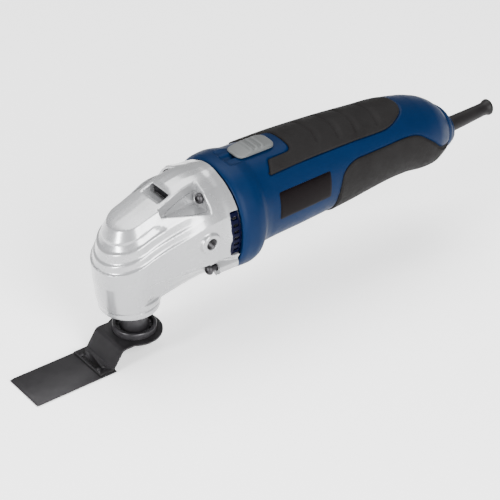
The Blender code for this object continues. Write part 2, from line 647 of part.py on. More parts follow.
def build_stator():
    """Stator stack and the two field coils on its poles' ends."""
    axis, centre = (0, 1, 0), (0, 0, MOTOR_Z)
    add_part("stator_core", ring(axis, centre, STATOR_BORE, STATOR_RADIUS, STACK_FRONT_Y, STACK_REAR_Y, 32),
             CORE_STEEL)
    for name, middle in (("field_coil_upper", 90.0), ("field_coil_lower", -90.0)):
        sections = []
        for i in range(9):
            angle = math.radians(middle - 62.0 + 124.0 * i / 8)
            corners = []
            for radius, y in ((15.0, 106.5), (21.0, 106.5), (21.0, 115.7), (15.0, 115.7)):
                corners.append(place(radius * math.cos(angle), y, MOTOR_Z + radius * math.sin(angle)))
            sections.append(corners)
        add_part(name, loft(sections), COPPER)


def build_brushes():
    """Brush holder, carbon brush and spring on each side of the commutator."""
    for side, sign in (("left", 1.0), ("right", -1.0)):
        centre = (0, 177.0, MOTOR_Z)
        axis = (sign, 0, 0)
        holder = [(4.9, 11.5), (6.1, 11.5), (6.1, 25.0), (0.0, 25.0), (0.0, 24.0), (4.9, 24.0)]
        add_part(f"brush_holder_{side}", turned(holder, axis, centre, 16), BRASS)
        inner, outer = sorted((sign * 9.9, sign * 17.5))
        add_part(f"carbon_brush_{side}", box((inner, 174.6, MOTOR_Z - 3.2), (outer, 179.4, MOTOR_Z + 3.2), 0.2),
                 CARBON)
        add_part(f"brush_spring_{side}", coil(sign), BRIGHT_STEEL)


def coil(sign):
    """Compression spring behind a brush, drawn as a swept wire."""
    turns, steps, wire, radius = 3, 8, 0.35, 3.0
    start, length = 18.2, 5.2
    sections = []
    for i in range(turns * steps + 1):
        angle = TWO_PI * i / steps
        along = start + length * i / (turns * steps)
        out = Vector((0.0, math.cos(angle), math.sin(angle)))
        corners = []
        for j in range(4):
            turn = TWO_PI * j / 4
            spot = out * (radius + wire * math.cos(turn))
            corners.append(place(sign * (along + wire * math.sin(turn)), 177.0 + spot.y, MOTOR_Z + spot.z))
        sections.append(corners)
    return loft(sections)


def build_capacitor():
    """Suppression capacitor below the rear bearing."""
    add_part("suppression_capacitor", box((-7.0, 208.0, 66.5), (7.0, 226.0, 75.5), 1.0), NAVY_PLASTIC)


def main():
    """Build the tool from the blade back to the strain relief."""
    build_blade()
    build_holder()
    build_clamp()
    build_flange()
    build_spindle()
    build_fork()
    build_head()
    build_head_screws()
    build_bearing_plate()
    build_baffle()
    build_rotor()
    build_rear_bearing()
    build_stator()
    build_brushes()
    build_capacitor()
    build_barrel()
    build_rear_cap()
    build_grips()
    build_labels()
    build_switch()
    build_cord_clamp()
    build_sleeve()


if __name__ == "__main__":
    main()
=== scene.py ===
"""Looks of the oscillating multi tool: painted head, blue barrel, soft grips and cranked blade.

Every piece is drawn in the tool's own millimetres, along Y from the spindle's axis and along Z
from the surface under the blade, and place() puts it in the frame's metres.
"""

from __future__ import annotations

import json
import logging
import math
from dataclasses import dataclass, field
from enum import Enum
from typing import Callable, Sequence

import bpy
import numpy as np
from mathutils import Matrix, Vector

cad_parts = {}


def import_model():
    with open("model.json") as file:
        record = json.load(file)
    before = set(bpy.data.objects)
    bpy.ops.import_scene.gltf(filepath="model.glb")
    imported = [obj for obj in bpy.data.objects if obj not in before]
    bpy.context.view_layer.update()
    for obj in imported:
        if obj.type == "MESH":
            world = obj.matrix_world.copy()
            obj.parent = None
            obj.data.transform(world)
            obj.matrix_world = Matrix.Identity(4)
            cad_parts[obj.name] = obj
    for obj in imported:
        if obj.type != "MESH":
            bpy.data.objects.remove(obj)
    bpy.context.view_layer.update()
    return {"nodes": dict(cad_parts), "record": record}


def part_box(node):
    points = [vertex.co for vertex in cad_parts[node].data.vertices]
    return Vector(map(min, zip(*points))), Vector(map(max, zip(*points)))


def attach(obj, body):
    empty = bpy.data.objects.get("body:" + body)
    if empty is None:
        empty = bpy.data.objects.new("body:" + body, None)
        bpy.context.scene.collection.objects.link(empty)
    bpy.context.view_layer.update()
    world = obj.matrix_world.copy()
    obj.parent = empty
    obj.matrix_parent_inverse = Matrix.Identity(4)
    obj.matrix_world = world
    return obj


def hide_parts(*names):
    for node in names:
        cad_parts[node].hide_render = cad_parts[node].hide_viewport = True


LOG = logging.getLogger("multi_tool")
MM = 0.001
TWO_PI = 2.0 * math.pi
BLADE_TIP_Y = -86.5
JOINT_Z = 81.4
UP = Vector((0, 0, 1))
BACK = Vector((0, 1, 0))
Outline = list[tuple[float, float]]
Shape = Callable[[np.ndarray, np.ndarray], np.ndarray]


class Body(Enum):
    """The moving bodies that a piece can ride on."""

    HOUSING = "housing"
    SPINDLE = "spindle"
    ROTOR = "rotor"
    SWITCH = "switch"


class Workbench:
    """Operators that shape a piece, and the frame that it is placed in."""

    mid_y: float = 0.0

    @classmethod
    def set_origin(cls) -> None:
        """Find the frame's origin from the blade's tip."""
        cls.mid_y = BLADE_TIP_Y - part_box("blade")[0].y / MM

    @classmethod
    def place(cls, x: float, y: float, z: float) -> Vector:
        """Frame position in metres of a point in the tool's millimetres."""
        return Vector((x * MM, (y - cls.mid_y) * MM, z * MM))

    @classmethod
    def place_all(cls, points: np.ndarray) -> np.ndarray:
        """Frame positions in metres of an (n, 3) array in the tool's millimetres."""
        moved = np.array(points, float)
        moved[:, 1] -= cls.mid_y
        return moved * MM

    @staticmethod
    def clear_selection() -> None:
        """Leave edit mode and deselect everything."""
        if bpy.context.mode != "OBJECT":
            bpy.ops.object.mode_set(mode="OBJECT")
        bpy.ops.object.select_all(action="DESELECT")

    @classmethod
    def only(cls, piece: bpy.types.Object) -> None:
        """Select one piece and make it active."""
        cls.clear_selection()
        piece.select_set(True)
        bpy.context.view_layer.objects.active = piece

    @classmethod
    def named(cls, name: str) -> bpy.types.Object:
        """Give the newly added primitive its name."""
        piece = bpy.context.active_object
        piece.name = name
        piece.data.name = name
        return piece

    @classmethod
    def settle(cls, piece: bpy.types.Object) -> bpy.types.Object:
        """Put the piece's place into its mesh, so that its object sits at the origin."""
        cls.only(piece)
        bpy.ops.object.transform_apply(location=True, rotation=True, scale=True)
        return piece

    @classmethod
    def tidy(cls, piece: bpy.types.Object, within: float = 1e-6) -> bpy.types.Object:
        """Merge doubled points, then point all faces outwards."""
        cls.only(piece)
        bpy.ops.object.mode_set(mode="EDIT")
        bpy.ops.mesh.select_all(action="SELECT")
        bpy.ops.mesh.remove_doubles(threshold=within)
        bpy.ops.mesh.dissolve_degenerate(threshold=within)
        bpy.ops.mesh.normals_make_consistent(inside=False)
        bpy.ops.object.mode_set(mode="OBJECT")
        return piece

    @classmethod
    def modify(cls, piece: bpy.types.Object, kind: str, **settings: object) -> bpy.types.Object:
        """Add one modifier with its settings and apply it."""
        cls.only(piece)
        step = piece.modifiers.new(kind.lower(), kind)
        for key, value in settings.items():
            setattr(step, key, value)
        bpy.ops.object.modifier_apply(modifier=step.name)
        return piece

    @classmethod
    def join_shape(cls, piece: bpy.types.Object, tool: bpy.types.Object,
                   operation: str = "DIFFERENCE") -> bpy.types.Object:
        """Cut or join a piece with a tool, and remove the tool."""
        cls.modify(piece, "BOOLEAN", operation=operation, solver="EXACT", object=tool)
        bpy.data.objects.remove(tool, do_unlink=True)
        return piece

    @classmethod
    def smooth(cls, piece: bpy.types.Object, angle: float = 40.0) -> bpy.types.Object:
        """Shade a piece smooth, apart from edges sharper than angle degrees."""
        cls.only(piece)
        bpy.ops.object.shade_smooth_by_angle(angle=math.radians(angle))
        return piece

    @classmethod
    def grid(cls, name: str, columns: int, rows: int, shape: Shape) -> bpy.types.Object:
        """Add a grid and lay its points on a shape.

        Args:
            name: Name of the piece.
            columns: Cells along u.
            rows: Cells along v.
            shape: Gives (n, 3) millimetre points for arrays of u and v from 0 to 1.

        Returns:
            The piece, with doubled points merged and faces pointing outwards.
        """
        cls.clear_selection()
        bpy.ops.mesh.primitive_grid_add(x_subdivisions=columns, y_subdivisions=rows, size=1.0)
        piece = cls.named(name)
        flat = np.empty(len(piece.data.vertices) * 3)
        piece.data.vertices.foreach_get("co", flat)
        flat = flat.reshape(-1, 3)
        u = np.round((flat[:, 0] + 0.5) * columns) / columns
        v = np.round((flat[:, 1] + 0.5) * rows) / rows
        piece.data.vertices.foreach_set("co", cls.place_all(shape(u, v)).ravel())
        piece.data.update()
        return cls.tidy(piece)

    @classmethod
    def rows_to_grid(cls, name: str, rows: np.ndarray) -> bpy.types.Object:
        """Lay a grid on a (rows, columns, 3) array of millimetre points whose columns close on themselves."""
        closed = np.concatenate([rows, rows[:, :1]], axis=1)
        count_v, count_u = closed.shape[0] - 1, closed.shape[1] - 1

        def shape(u: np.ndarray, v: np.ndarray) -> np.ndarray:
            return closed[np.rint(v * count_v).astype(int), np.rint(u * count_u).astype(int)]

        return cls.grid(name, count_u, count_v, shape)

    @classmethod
    def turned(cls, name: str, profile: Sequence[tuple[float, float]], axis: Vector, centre: Sequence[float],
               steps: int = 48, ring: bool = False) -> bpy.types.Object:
        """Build a round piece by extruding and scaling a circle along its profile.

        Args:
            name: Name of the piece.
            profile: (radius, distance along the axis) of each step.
            axis: Direction of the axis.
            centre: Millimetre point that distances are measured from.
            steps: Sides of the circle.
            ring: Whether the last step joins the first, as on a washer.

        Returns:
            The piece, settled in the frame.
        """
        cls.clear_selection()
        radius, along = profile[0]
        bpy.ops.mesh.primitive_circle_add(vertices=steps, radius=radius * MM, location=(0, 0, along * MM),
                                          fill_type="NOTHING" if ring else "NGON")
        piece = cls.settle(cls.named(name))
        bpy.ops.object.mode_set(mode="EDIT")
        bpy.ops.mesh.select_all(action="SELECT")
        for next_radius, next_along in profile[1:]:
            extrude = bpy.ops.mesh.extrude_edges_move if ring else bpy.ops.mesh.extrude_region_move
            extrude(TRANSFORM_OT_translate={"value": (0, 0, (next_along - along) * MM)})
            scale = next_radius / radius
            bpy.ops.transform.resize(value=(scale, scale, 1.0), center_override=(0, 0, next_along * MM))
            radius, along = next_radius, next_along
        bpy.ops.object.mode_set(mode="OBJECT")
        if ring:
            cls.close_ring(piece)
        turn = UP.rotation_difference(Vector(axis)).to_matrix().to_4x4()
        piece.matrix_world = Matrix.Translation(cls.place(*centre)) @ turn
        return cls.tidy(cls.settle(piece))

    @classmethod
    def close_ring(cls, piece: bpy.types.Object) -> None:
        """Bridge the first and last loops of a ring's profile."""
        cls.only(piece)
        bpy.ops.object.mode_set(mode="EDIT")
        bpy.ops.mesh.select_all(action="DESELECT")
        bpy.ops.mesh.select_non_manifold(extend=False)
        bpy.ops.mesh.bridge_edge_loops()
        bpy.ops.object.mode_set(mode="OBJECT")

    @classmethod
    def block(cls, name: str, low: Sequence[float], high: Sequence[float], bevel: float = 0.0,
              segments: int = 3) -> bpy.types.Object:
        """A cube stretched between two corners, with its edges bevelled."""
        cls.clear_selection()
        middle = [(a + b) / 2.0 for a, b in zip(low, high)]
        bpy.ops.mesh.primitive_cube_add(size=1.0, location=cls.place(*middle),
                                        scale=[(b - a) * MM for a, b in zip(low, high)])
        piece = cls.settle(cls.named(name))
        if bevel:
            cls.modify(piece, "BEVEL", width=bevel * MM, segments=segments, limit_method="ANGLE")
        return piece


def track(table: Sequence[Sequence[float]], where: np.ndarray) -> np.ndarray:
    """Smooth values of a table at each place, with no overshoot.

    Args:
        table: Rows of (place, value, value, ...).
        where: Places to read.

    Returns:
        One row of values for each place.
    """
    data = np.array(table, float)
    x, y = data[:, 0], data[:, 1:]
    gap = np.diff(x)[:, None]
    slope = np.diff(y, axis=0) / gap
    middle = np.where(slope[:-1] * slope[1:] > 0.0,
                      2.0 * slope[:-1] * slope[1:] / np.where(slope[:-1] + slope[1:] == 0.0, 1.0,
                                                              slope[:-1] + slope[1:]), 0.0)
    tangent = np.vstack([slope[:1], middle, slope[-1:]])
    cell = np.clip(np.searchsorted(x, where) - 1, 0, len(x) - 2)
    share = np.clip((where - x[cell]) / (x[cell + 1] - x[cell]), 0.0, 1.0)[:, None]
    width = gap[cell]
    return (y[cell] * (1 + 2 * share) * (1 - share) ** 2
            + tangent[cell] * width * share * (1 - share) ** 2
            + y[cell + 1] * share ** 2 * (3 - 2 * share)
            - tangent[cell + 1] * width * share ** 2 * (1 - share))


def ease(value: np.ndarray, low: float, high: float) -> np.ndarray:
    """Smooth rise from 0 at low to 1 at high."""
    share = np.clip((value - low) / (high - low), 0.0, 1.0)
    return share * share * (3.0 - 2.0 * share)


def rounded(points: Outline, radii: Sequence[float], steps: int = 6) -> Outline:
    """Round each corner of a closed outline by its own radius."""
    result: Outline = []
    count = len(points)
    for i, (point, radius) in enumerate(zip(points, radii)):
        here = np.array(point)
        if radius <= 0.0:
            result.append(point)
            continue
        back, ahead = np.array(points[i - 1]) - here, np.array(points[(i + 1) % count]) - here
        reach = min(radius, 0.45 * np.linalg.norm(back), 0.45 * np.linalg.norm(ahead))
        start = here + back / np.linalg.norm(back) * reach
        end = here + ahead / np.linalg.norm(ahead) * reach
        for j in range(steps + 1):
            t = j / steps
            spot = start * (1 - t) ** 2 + 2 * here * t * (1 - t) + end * t ** 2
            result.append((float(spot[0]), float(spot[1])))
    return result


def inside_distance(outline: Outline, points: np.ndarray) -> tuple[np.ndarray, np.ndarray]:
    """Distance of each point to an outline, positive inside, and its nearest point on it."""
    corners = np.array(outline)
    best = np.full(len(points), np.inf)
    nearest = np.zeros_like(points)
    crossings = np.zeros(len(points), int)
    for start, end in zip(corners, np.roll(corners, -1, axis=0)):
        side = end - start
        share = np.clip(((points - start) @ side) / max(side @ side, 1e-12), 0.0, 1.0)
        foot = start + share[:, None] * side
        away = np.hypot(*(points - foot).T)
        closer = away < best
        best = np.where(closer, away, best)
        nearest[closer] = foot[closer]
        if start[1] != end[1]:
            between = (points[:, 1] >= min(start[1], end[1])) & (points[:, 1] < max(start[1], end[1]))
            cross = start[0] + (points[:, 1] - start[1]) / (end[1] - start[1]) * side[0]
            crossings += between & (cross > points[:, 0])
    return np.where(crossings % 2 == 1, best, -best), nearest


# ---------------------------------------------------------------- finishes

class Nodes:
    """Short ways to lay out a material's nodes."""

    def __init__(self, tree: bpy.types.NodeTree) -> None:
        """Keep the tree that nodes are added to."""
        self.tree = tree

    def add(self, kind: str, **inputs: object) -> bpy.types.Node:
        """Add a node, and set or link its inputs by name."""
        node = self.tree.nodes.new(kind)
        for key, value in inputs.items():
            self.give(node, key.replace("_", " "), value)
        return node

    def give(self, node: bpy.types.Node, socket: str, value: object) -> None:
        """Set an input to a value, or link it from another node's socket."""
        if isinstance(value, bpy.types.NodeSocket):
            self.tree.links.new(value, node.inputs[socket])
        else:
            node.inputs[socket].default_value = value

    def maths(self, operation: str, first: object, second: object) -> bpy.types.NodeSocket:
        """Add a Math node and return its value."""
        node = self.tree.nodes.new("ShaderNodeMath")
        node.operation = operation
        for socket, value in zip(node.inputs, (first, second)):
            if isinstance(value, bpy.types.NodeSocket):
                self.tree.links.new(value, socket)
            else:
                socket.default_value = value
        return node.outputs[0]


class Effects:
    """Node groups that several finishes share."""

    groups: dict[str, bpy.types.NodeTree] = {}

    @classmethod
    def group(cls, name: str, inputs: Sequence[tuple[str, str, float]],
              outputs: Sequence[tuple[str, str]]) -> tuple[bpy.types.NodeTree, Nodes]:
        """Start a node group with its named sockets."""
        tree = bpy.data.node_groups.new(name, "ShaderNodeTree")
        for label, kind, value in inputs:
            socket = tree.interface.new_socket(label, in_out="INPUT", socket_type=kind)
            if kind == "NodeSocketFloat":
                socket.default_value = value
        for label, kind in outputs:
            tree.interface.new_socket(label, in_out="OUTPUT", socket_type=kind)
        cls.groups[name] = tree
        return tree, Nodes(tree)

    @classmethod
    def build(cls) -> None:
        """Build the shared effects: mottle, grain and brushed lines."""
        number = "NodeSocketFloat"
        tree, nodes = cls.group("mottle", [("Vector", "NodeSocketVector", 0), ("Scale", number, 40),
                                           ("Low", number, 0), ("High", number, 1)], [("Value", number)])
        start, end = tree.nodes.new("NodeGroupInput"), tree.nodes.new("NodeGroupOutput")
        cloud = nodes.add("ShaderNodeTexNoise", Vector=start.outputs["Vector"], Scale=start.outputs["Scale"],
                          Detail=5.0, Roughness=0.6)
        spread = nodes.add("ShaderNodeMapRange", Value=cloud.outputs["Fac"], From_Min=0.32, From_Max=0.68,
                           To_Min=start.outputs["Low"], To_Max=start.outputs["High"])
        tree.links.new(spread.outputs["Result"], end.inputs["Value"])

        tree, nodes = cls.group("grain", [("Vector", "NodeSocketVector", 0), ("Scale", number, 1500),
                                          ("Softness", number, 0.5)], [("Height", number)])
        start, end = tree.nodes.new("NodeGroupInput"), tree.nodes.new("NodeGroupOutput")
        cells = nodes.add("ShaderNodeTexVoronoi", Vector=start.outputs["Vector"],
                          Scale=start.outputs["Scale"])
        cells.feature = "SMOOTH_F1"
        fine = nodes.add("ShaderNodeTexNoise", Vector=start.outputs["Vector"], Scale=start.outputs["Scale"],
                         Detail=3.0)
        blend = nodes.add("ShaderNodeMix", Factor=start.outputs["Softness"], A=cells.outputs["Distance"],
                          B=fine.outputs["Fac"])
        tree.links.new(blend.outputs[0], end.inputs["Height"])

        tree, nodes = cls.group("brushed", [("Vector", "NodeSocketVector", 0), ("Scale", number, 60),
                                            ("Along", number, 30)], [("Height", number)])
        start, end = tree.nodes.new("NodeGroupInput"), tree.nodes.new("NodeGroupOutput")
        parts = nodes.add("ShaderNodeSeparateXYZ", Vector=start.outputs["Vector"])
        wide = nodes.maths("MULTIPLY", parts.outputs["X"], start.outputs["Along"])
        joined = nodes.add("ShaderNodeCombineXYZ", X=wide, Y=parts.outputs["Y"], Z=parts.outputs["Z"])
        lines = nodes.add("ShaderNodeTexNoise", Vector=joined.outputs["Vector"], Scale=start.outputs["Scale"],
                          Detail=4.0)
        tree.links.new(lines.outputs["Fac"], end.inputs["Height"])


@dataclass(frozen=True)
class Finish:
    """One surface finish, with its colours, gloss and texture."""

    name: str
    colour: tuple[float, float, float]
    second: tuple[float, float, float]
    roughness: tuple[float, float]
    metallic: float = 0.0
    coat: float = 0.0
    coat_roughness: float = 0.1
    specular: float = 0.5
    mottle_scale: float = 60.0
    grain_scale: float = 1500.0
    grain_softness: float = 0.5
    grain_depth: float = 0.00002
    brushed: float = 0.0

    def build(self) -> bpy.types.Material:
        """Make the node material."""
        material = bpy.data.materials.new(self.name)
        material.use_nodes = True
        tree = material.node_tree
        nodes = Nodes(tree)
        shader = tree.nodes["Principled BSDF"]
        where = tree.nodes.new("ShaderNodeTexCoord").outputs["Object"]
        mottle = self.effect(nodes, "mottle", Vector=where, Scale=self.mottle_scale, Low=0.0, High=1.0)
        tint = nodes.add("ShaderNodeMix")
        tint.data_type = "RGBA"
        tint.inputs[6].default_value = (*self.colour, 1.0)
        tint.inputs[7].default_value = (*self.second, 1.0)
        tree.links.new(mottle, tint.inputs["Factor"])
        tree.links.new(tint.outputs[2], shader.inputs["Base Color"])
        gloss = self.effect(nodes, "mottle", Vector=where, Scale=self.mottle_scale * 4.0,
                            Low=self.roughness[0], High=self.roughness[1])
        tree.links.new(gloss, shader.inputs["Roughness"])
        if self.brushed:
            height = self.effect(nodes, "brushed", Vector=where, Scale=self.grain_scale, Along=self.brushed)
        else:
            height = self.effect(nodes, "grain", Vector=where, Scale=self.grain_scale,
                                 Softness=self.grain_softness)
        bump = nodes.add("ShaderNodeBump", Height=height, Strength=1.0, Distance=self.grain_depth)
        tree.links.new(bump.outputs["Normal"], shader.inputs["Normal"])
        shader.inputs["Metallic"].default_value = self.metallic
        shader.inputs["Specular IOR Level"].default_value = self.specular
        shader.inputs["Coat Weight"].default_value = self.coat
        shader.inputs["Coat Roughness"].default_value = self.coat_roughness
        return material

    @staticmethod
    def effect(nodes: Nodes, name: str, **inputs: object) -> bpy.types.NodeSocket:
        """Place a shared effect with its own values and return its output."""
        node = nodes.tree.nodes.new("ShaderNodeGroup")
        node.node_tree = Effects.groups[name]
        for key, value in inputs.items():
            nodes.give(node, key, value)
        return node.outputs[0]


FINISHES = [
    Finish("silver_paint", (0.25, 0.253, 0.26), (0.256, 0.259, 0.266), (0.26, 0.28), metallic=0.5, coat=1.0,
           coat_roughness=0.1, mottle_scale=20.0, grain_scale=900.0, grain_depth=0.000003),
    Finish("blue_plastic", (0.0, 0.0066, 0.027), (0.0, 0.0076, 0.031), (0.40, 0.48), specular=0.06,
           mottle_scale=35.0, grain_scale=2600.0, grain_softness=0.3, grain_depth=0.00003),
    Finish("navy_plastic", (0.0, 0.0003, 0.008), (0.0, 0.0005, 0.010), (0.40, 0.5), specular=0.06,
           grain_depth=0.00002),
    Finish("grip_rubber", (0.0065, 0.006, 0.006), (0.0085, 0.008, 0.008), (0.6, 0.74), specular=0.06,
           mottle_scale=60.0, grain_scale=1700.0, grain_softness=0.25, grain_depth=0.00012),
    Finish("sleeve_rubber", (0.004, 0.0035, 0.0038), (0.006, 0.0053, 0.0055), (0.42, 0.55), specular=0.15,
           grain_depth=0.00003),
    Finish("switch_plastic", (0.058, 0.061, 0.061), (0.066, 0.069, 0.069), (0.42, 0.52), specular=0.3,
           grain_scale=2400.0, grain_softness=0.3, grain_depth=0.00004),
    Finish("black_plastic", (0.003, 0.003, 0.004), (0.005, 0.005, 0.006), (0.4, 0.55), specular=0.15,
           grain_depth=0.00003),
    Finish("label_film", (0.0018, 0.001, 0.0012), (0.0022, 0.0013, 0.0015), (0.30, 0.36), specular=0.04,
           grain_depth=0.000006),
    Finish("blade_steel", (0.010, 0.0095, 0.0105), (0.014, 0.0132, 0.0145), (0.36, 0.48), metallic=0.3,
           specular=0.2, mottle_scale=90.0, grain_scale=160.0, grain_depth=0.00002, brushed=14.0),
    Finish("dark_steel", (0.016, 0.015, 0.017), (0.024, 0.023, 0.025), (0.30, 0.42), metallic=0.5,
           specular=0.4, mottle_scale=150.0, grain_scale=1200.0, grain_depth=0.00001),
    Finish("bright_steel", (0.55, 0.55, 0.56), (0.63, 0.63, 0.64), (0.20, 0.32), metallic=1.0,
           mottle_scale=200.0, grain_scale=200.0, grain_depth=0.000008, brushed=10.0),
    Finish("core_steel", (0.22, 0.22, 0.24), (0.28, 0.28, 0.30), (0.4, 0.55), metallic=0.9,
           grain_depth=0.00002),
    Finish("copper", (0.66, 0.28, 0.13), (0.74, 0.34, 0.17), (0.28, 0.42), metallic=1.0, grain_scale=700.0,
           grain_depth=0.00003),
    Finish("brass", (0.60, 0.43, 0.17), (0.68, 0.51, 0.22), (0.28, 0.4), metallic=1.0, grain_depth=0.00001),
    Finish("carbon", (0.022, 0.022, 0.022), (0.032, 0.032, 0.032), (0.7, 0.85), grain_depth=0.00004),
]


class Dresser:
    """Gives pieces and frame nodes their finishes."""

    def __init__(self, record: dict) -> None:
        """Build every finish and keep the record that says which node takes which slot."""
        Effects.build()
        self.materials = {finish.name: finish.build() for finish in FINISHES}
        self.slots = record

    def paint(self, piece: bpy.types.Object, name: str) -> None:
        """Put one finish on a whole piece."""
        piece.data.materials.clear()
        piece.data.materials.append(self.materials[name])

    def finish(self, piece: bpy.types.Object, slot: str, body: Body, *nodes: str) -> None:
        """Paint a new piece, fix it to its body and hide the nodes that it stands for."""
        self.paint(piece, slot)
        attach(piece, body.value)
        if nodes:
            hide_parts(*nodes)
        LOG.info("%s: %s on %s, %d points", piece.name, slot, body.value, len(piece.data.vertices))


# ---------------------------------------------------------------- head

@dataclass
class Head:
    """The cast head: stepped drum in front, sloping cap, screw pockets and side-handle bosses."""

    drum_y: float = -4.0
    shoulder_y: float = 34.0
    joint_y: float = 60.0
    wall: float = 4.0
    voxel: float = 0.55
    lip: float = 0.5
    joint_radius: float = 36.9
    belly: tuple[tuple[float, ...], tuple[float, ...]] = (
        (0.0, 1.0, 2.0, 2.6, 2.92, 3.0), (2.2, 3.2, 2.9, 2.3, 1.7, 0.0))
    levels: list[tuple[float, ...]] = field(default_factory=lambda: [
        (40.2, 19.0, 42.6, 12.0, 45.6, 12.0),
        (43.0, 21.2, 46.5, 18.5, 50.0, 20.5),
        (50.6, 22.3, 55.5, 23.4, 60.0, 29.8),
        (62.6, 23.8, 65.5, 29.5, 70.0, 34.8),
        (76.6, 24.4, 82.0, 31.6, 84.0, 36.8),
        (81.1, 24.4, 96.0, 31.8, 100.0, 31.8),
        (86.5, 22.3, 101.5, 29.4, 104.5, 28.6),
        (93.4, 20.1, 107.8, 26.4, 109.5, 23.8),
        (98.6, 17.1, 113.8, 21.4, 114.2, 16.8),
        (104.6, 13.5, 117.4, 14.5, 117.5, 8.5),
    ])
    cap_crown: tuple[float, float] = (0.8, 1.8)
    cap_start_z: float = 105.4
    cap_slope: float = 0.337
    under_level: float = 1.6
    under_lift: float = 2.0
    boss: tuple[float, float, float] = (37.6, 84.3, 33.4)
    screws: dict[str, tuple[float, float]] = field(
        default_factory=lambda: {"upper": (17.5, 110.0), "lower": (28.8, 61.2)})

    def profile(self) -> list[tuple[float, float, float, float]]:
        """(level, inset in front, where the inset starts to fade, where it ends) from the bottom up."""
        rows: list[tuple[float, float, float, float]] = []
        for level in np.linspace(0.0, 4.8, 49):
            rows.append((float(level), 0.0, 0.0, 1.0))
        rows += [(4.97, -0.25, 8.0, 34.0), (5.03, 0.0, 8.0, 34.0), (5.12, 0.95, 8.0, 34.0),
                 (5.3, 0.8, 8.0, 34.0), (5.6, 0.45, 8.0, 34.0), (5.9, 0.08, 8.0, 34.0),
                 (6.0, 0.0, 14.0, 36.0), (6.1, 1.0, 14.0, 36.0), (6.3, 0.8, 14.0, 36.0),
                 (6.6, 0.45, 14.0, 36.0), (6.85, 0.1, 14.0, 36.0), (6.96, 0.0, 8.5, 11.0),
                 (7.06, 1.1, 8.5, 11.0), (7.3, 1.15, 7.2, 9.7), (7.6, 1.15, 5.4, 7.9),
                 (7.88, 1.1, 3.8, 6.2), (7.97, 0.1, 3.8, 6.2), (8.1, 0.0, 3.8, 6.2)]
        for level in (8.3, 8.5, 8.7, 8.85, 8.94, 9.0):
            rows.append((level, 0.0, 0.0, 1.0))
        return rows

    def outline(self, level: float, inset: float, fade: tuple[float, float], wall: float = 0.0,
                rear_y: float | None = None) -> np.ndarray:
        """One level of the head as a closed loop of points.

        Args:
            level: Place in the table of levels.
            inset: How far the front steps in.
            fade: Where along Y the step starts and stops fading.
            wall: Distance in from the outside.
            rear_y: Where the loop ends, when that isn't the joint.

        Returns:
            (n, 3) millimetre points.
        """
        table = np.array(self.levels)
        drum_z, radius, shoulder_z, shoulder_half, joint_z, joint_half = [
            float(np.interp(level, range(len(table)), table[:, i])) for i in range(6)]
        rise = (shoulder_z - drum_z) / (self.shoulder_y - self.drum_y)
        side_y = np.linspace(self.drum_y, self.joint_y, 56)[1:]
        span, rest = self.shoulder_y - self.drum_y, self.joint_y - self.shoulder_y
        mean = (joint_half - radius) / (span + rest)
        half = self.hermite(side_y, radius, shoulder_half, joint_half, 0.0, mean,
                            (joint_half - shoulder_half) / rest)
        fall = (joint_z - shoulder_z) / rest
        height = self.hermite(side_y, drum_z, shoulder_z, joint_z, rise, (rise + fall) / 2, fall)
        angle = math.pi + math.pi * np.arange(0, 65) / 64
        front = np.stack([radius * np.cos(angle), self.drum_y + radius * np.sin(angle),
                          drum_z + rise * radius * np.sin(angle)], 1)
        right = np.stack([half, side_y, height], 1)
        left = right[::-1] * (-1, 1, 1)
        across = np.linspace(1.0, -1.0, 13)[1:-1]
        back = np.stack([joint_half * across, np.full(11, self.joint_y), np.full(11, joint_z)], 1)
        points = np.concatenate([left, front, right, back])
        along = points[:, 1]
        middle = ease(along, -12.0, 6.0) * (1.0 - ease(along, 42.0, 56.0))
        step = inset * (1.0 - ease(along, *fade)) + wall + middle * float(np.interp(level, *self.belly))
        points[:, 2] += middle * max(0.0, self.under_level - level) * self.under_lift
        if not wall:
            lip = self.lip * ease(along, 49.0, 55.0)
            points[:, 0] += lip * points[:, 0] / self.joint_radius
            points[:, 2] += lip * (points[:, 2] - JOINT_Z) / self.joint_radius
        return self.step_in(points, step, radius, rear_y)

    def step_in(self, points: np.ndarray, step: np.ndarray, radius: float,
                rear_y: float | None) -> np.ndarray:
        """Move a loop's points in towards the drum's axis or the middle plane."""
        front = points[:, 1] < self.drum_y
        offset = points[:, :2] - (0.0, self.drum_y)
        scale = 1.0 - step / radius
        moved = points.copy()
        moved[front, :2] = (0.0, self.drum_y) + offset[front] * scale[front, None]
        sides = ~front
        moved[sides, 0] -= np.clip(points[sides, 0] / 8.0, -1.0, 1.0) * step[sides]
        if rear_y is not None:
            moved[moved[:, 1] > self.joint_y - 0.01, 1] = rear_y
        return moved

    def hermite(self, y: np.ndarray, near: float, middle: float, far: float, slope_near: float,
                slope_middle: float, slope_far: float) -> np.ndarray:
        """A smooth curve along the side through the drum, the shoulder and the joint."""
        result = np.empty_like(y)
        for low, high, a, b, m, n in ((self.drum_y, self.shoulder_y, near, middle, slope_near, slope_middle),
                                      (self.shoulder_y, self.joint_y, middle, far, slope_middle, slope_far)):
            inside = (y > low - 1e-9) & (y <= high + 1e-9)
            t = (y[inside] - low) / (high - low)
            reach = high - low
            result[inside] = (a * (1 + 2 * t) * (1 - t) ** 2 + m * reach * t * (1 - t) ** 2
                              + b * t ** 2 * (3 - 2 * t) - n * reach * t ** 2 * (1 - t))
        return result

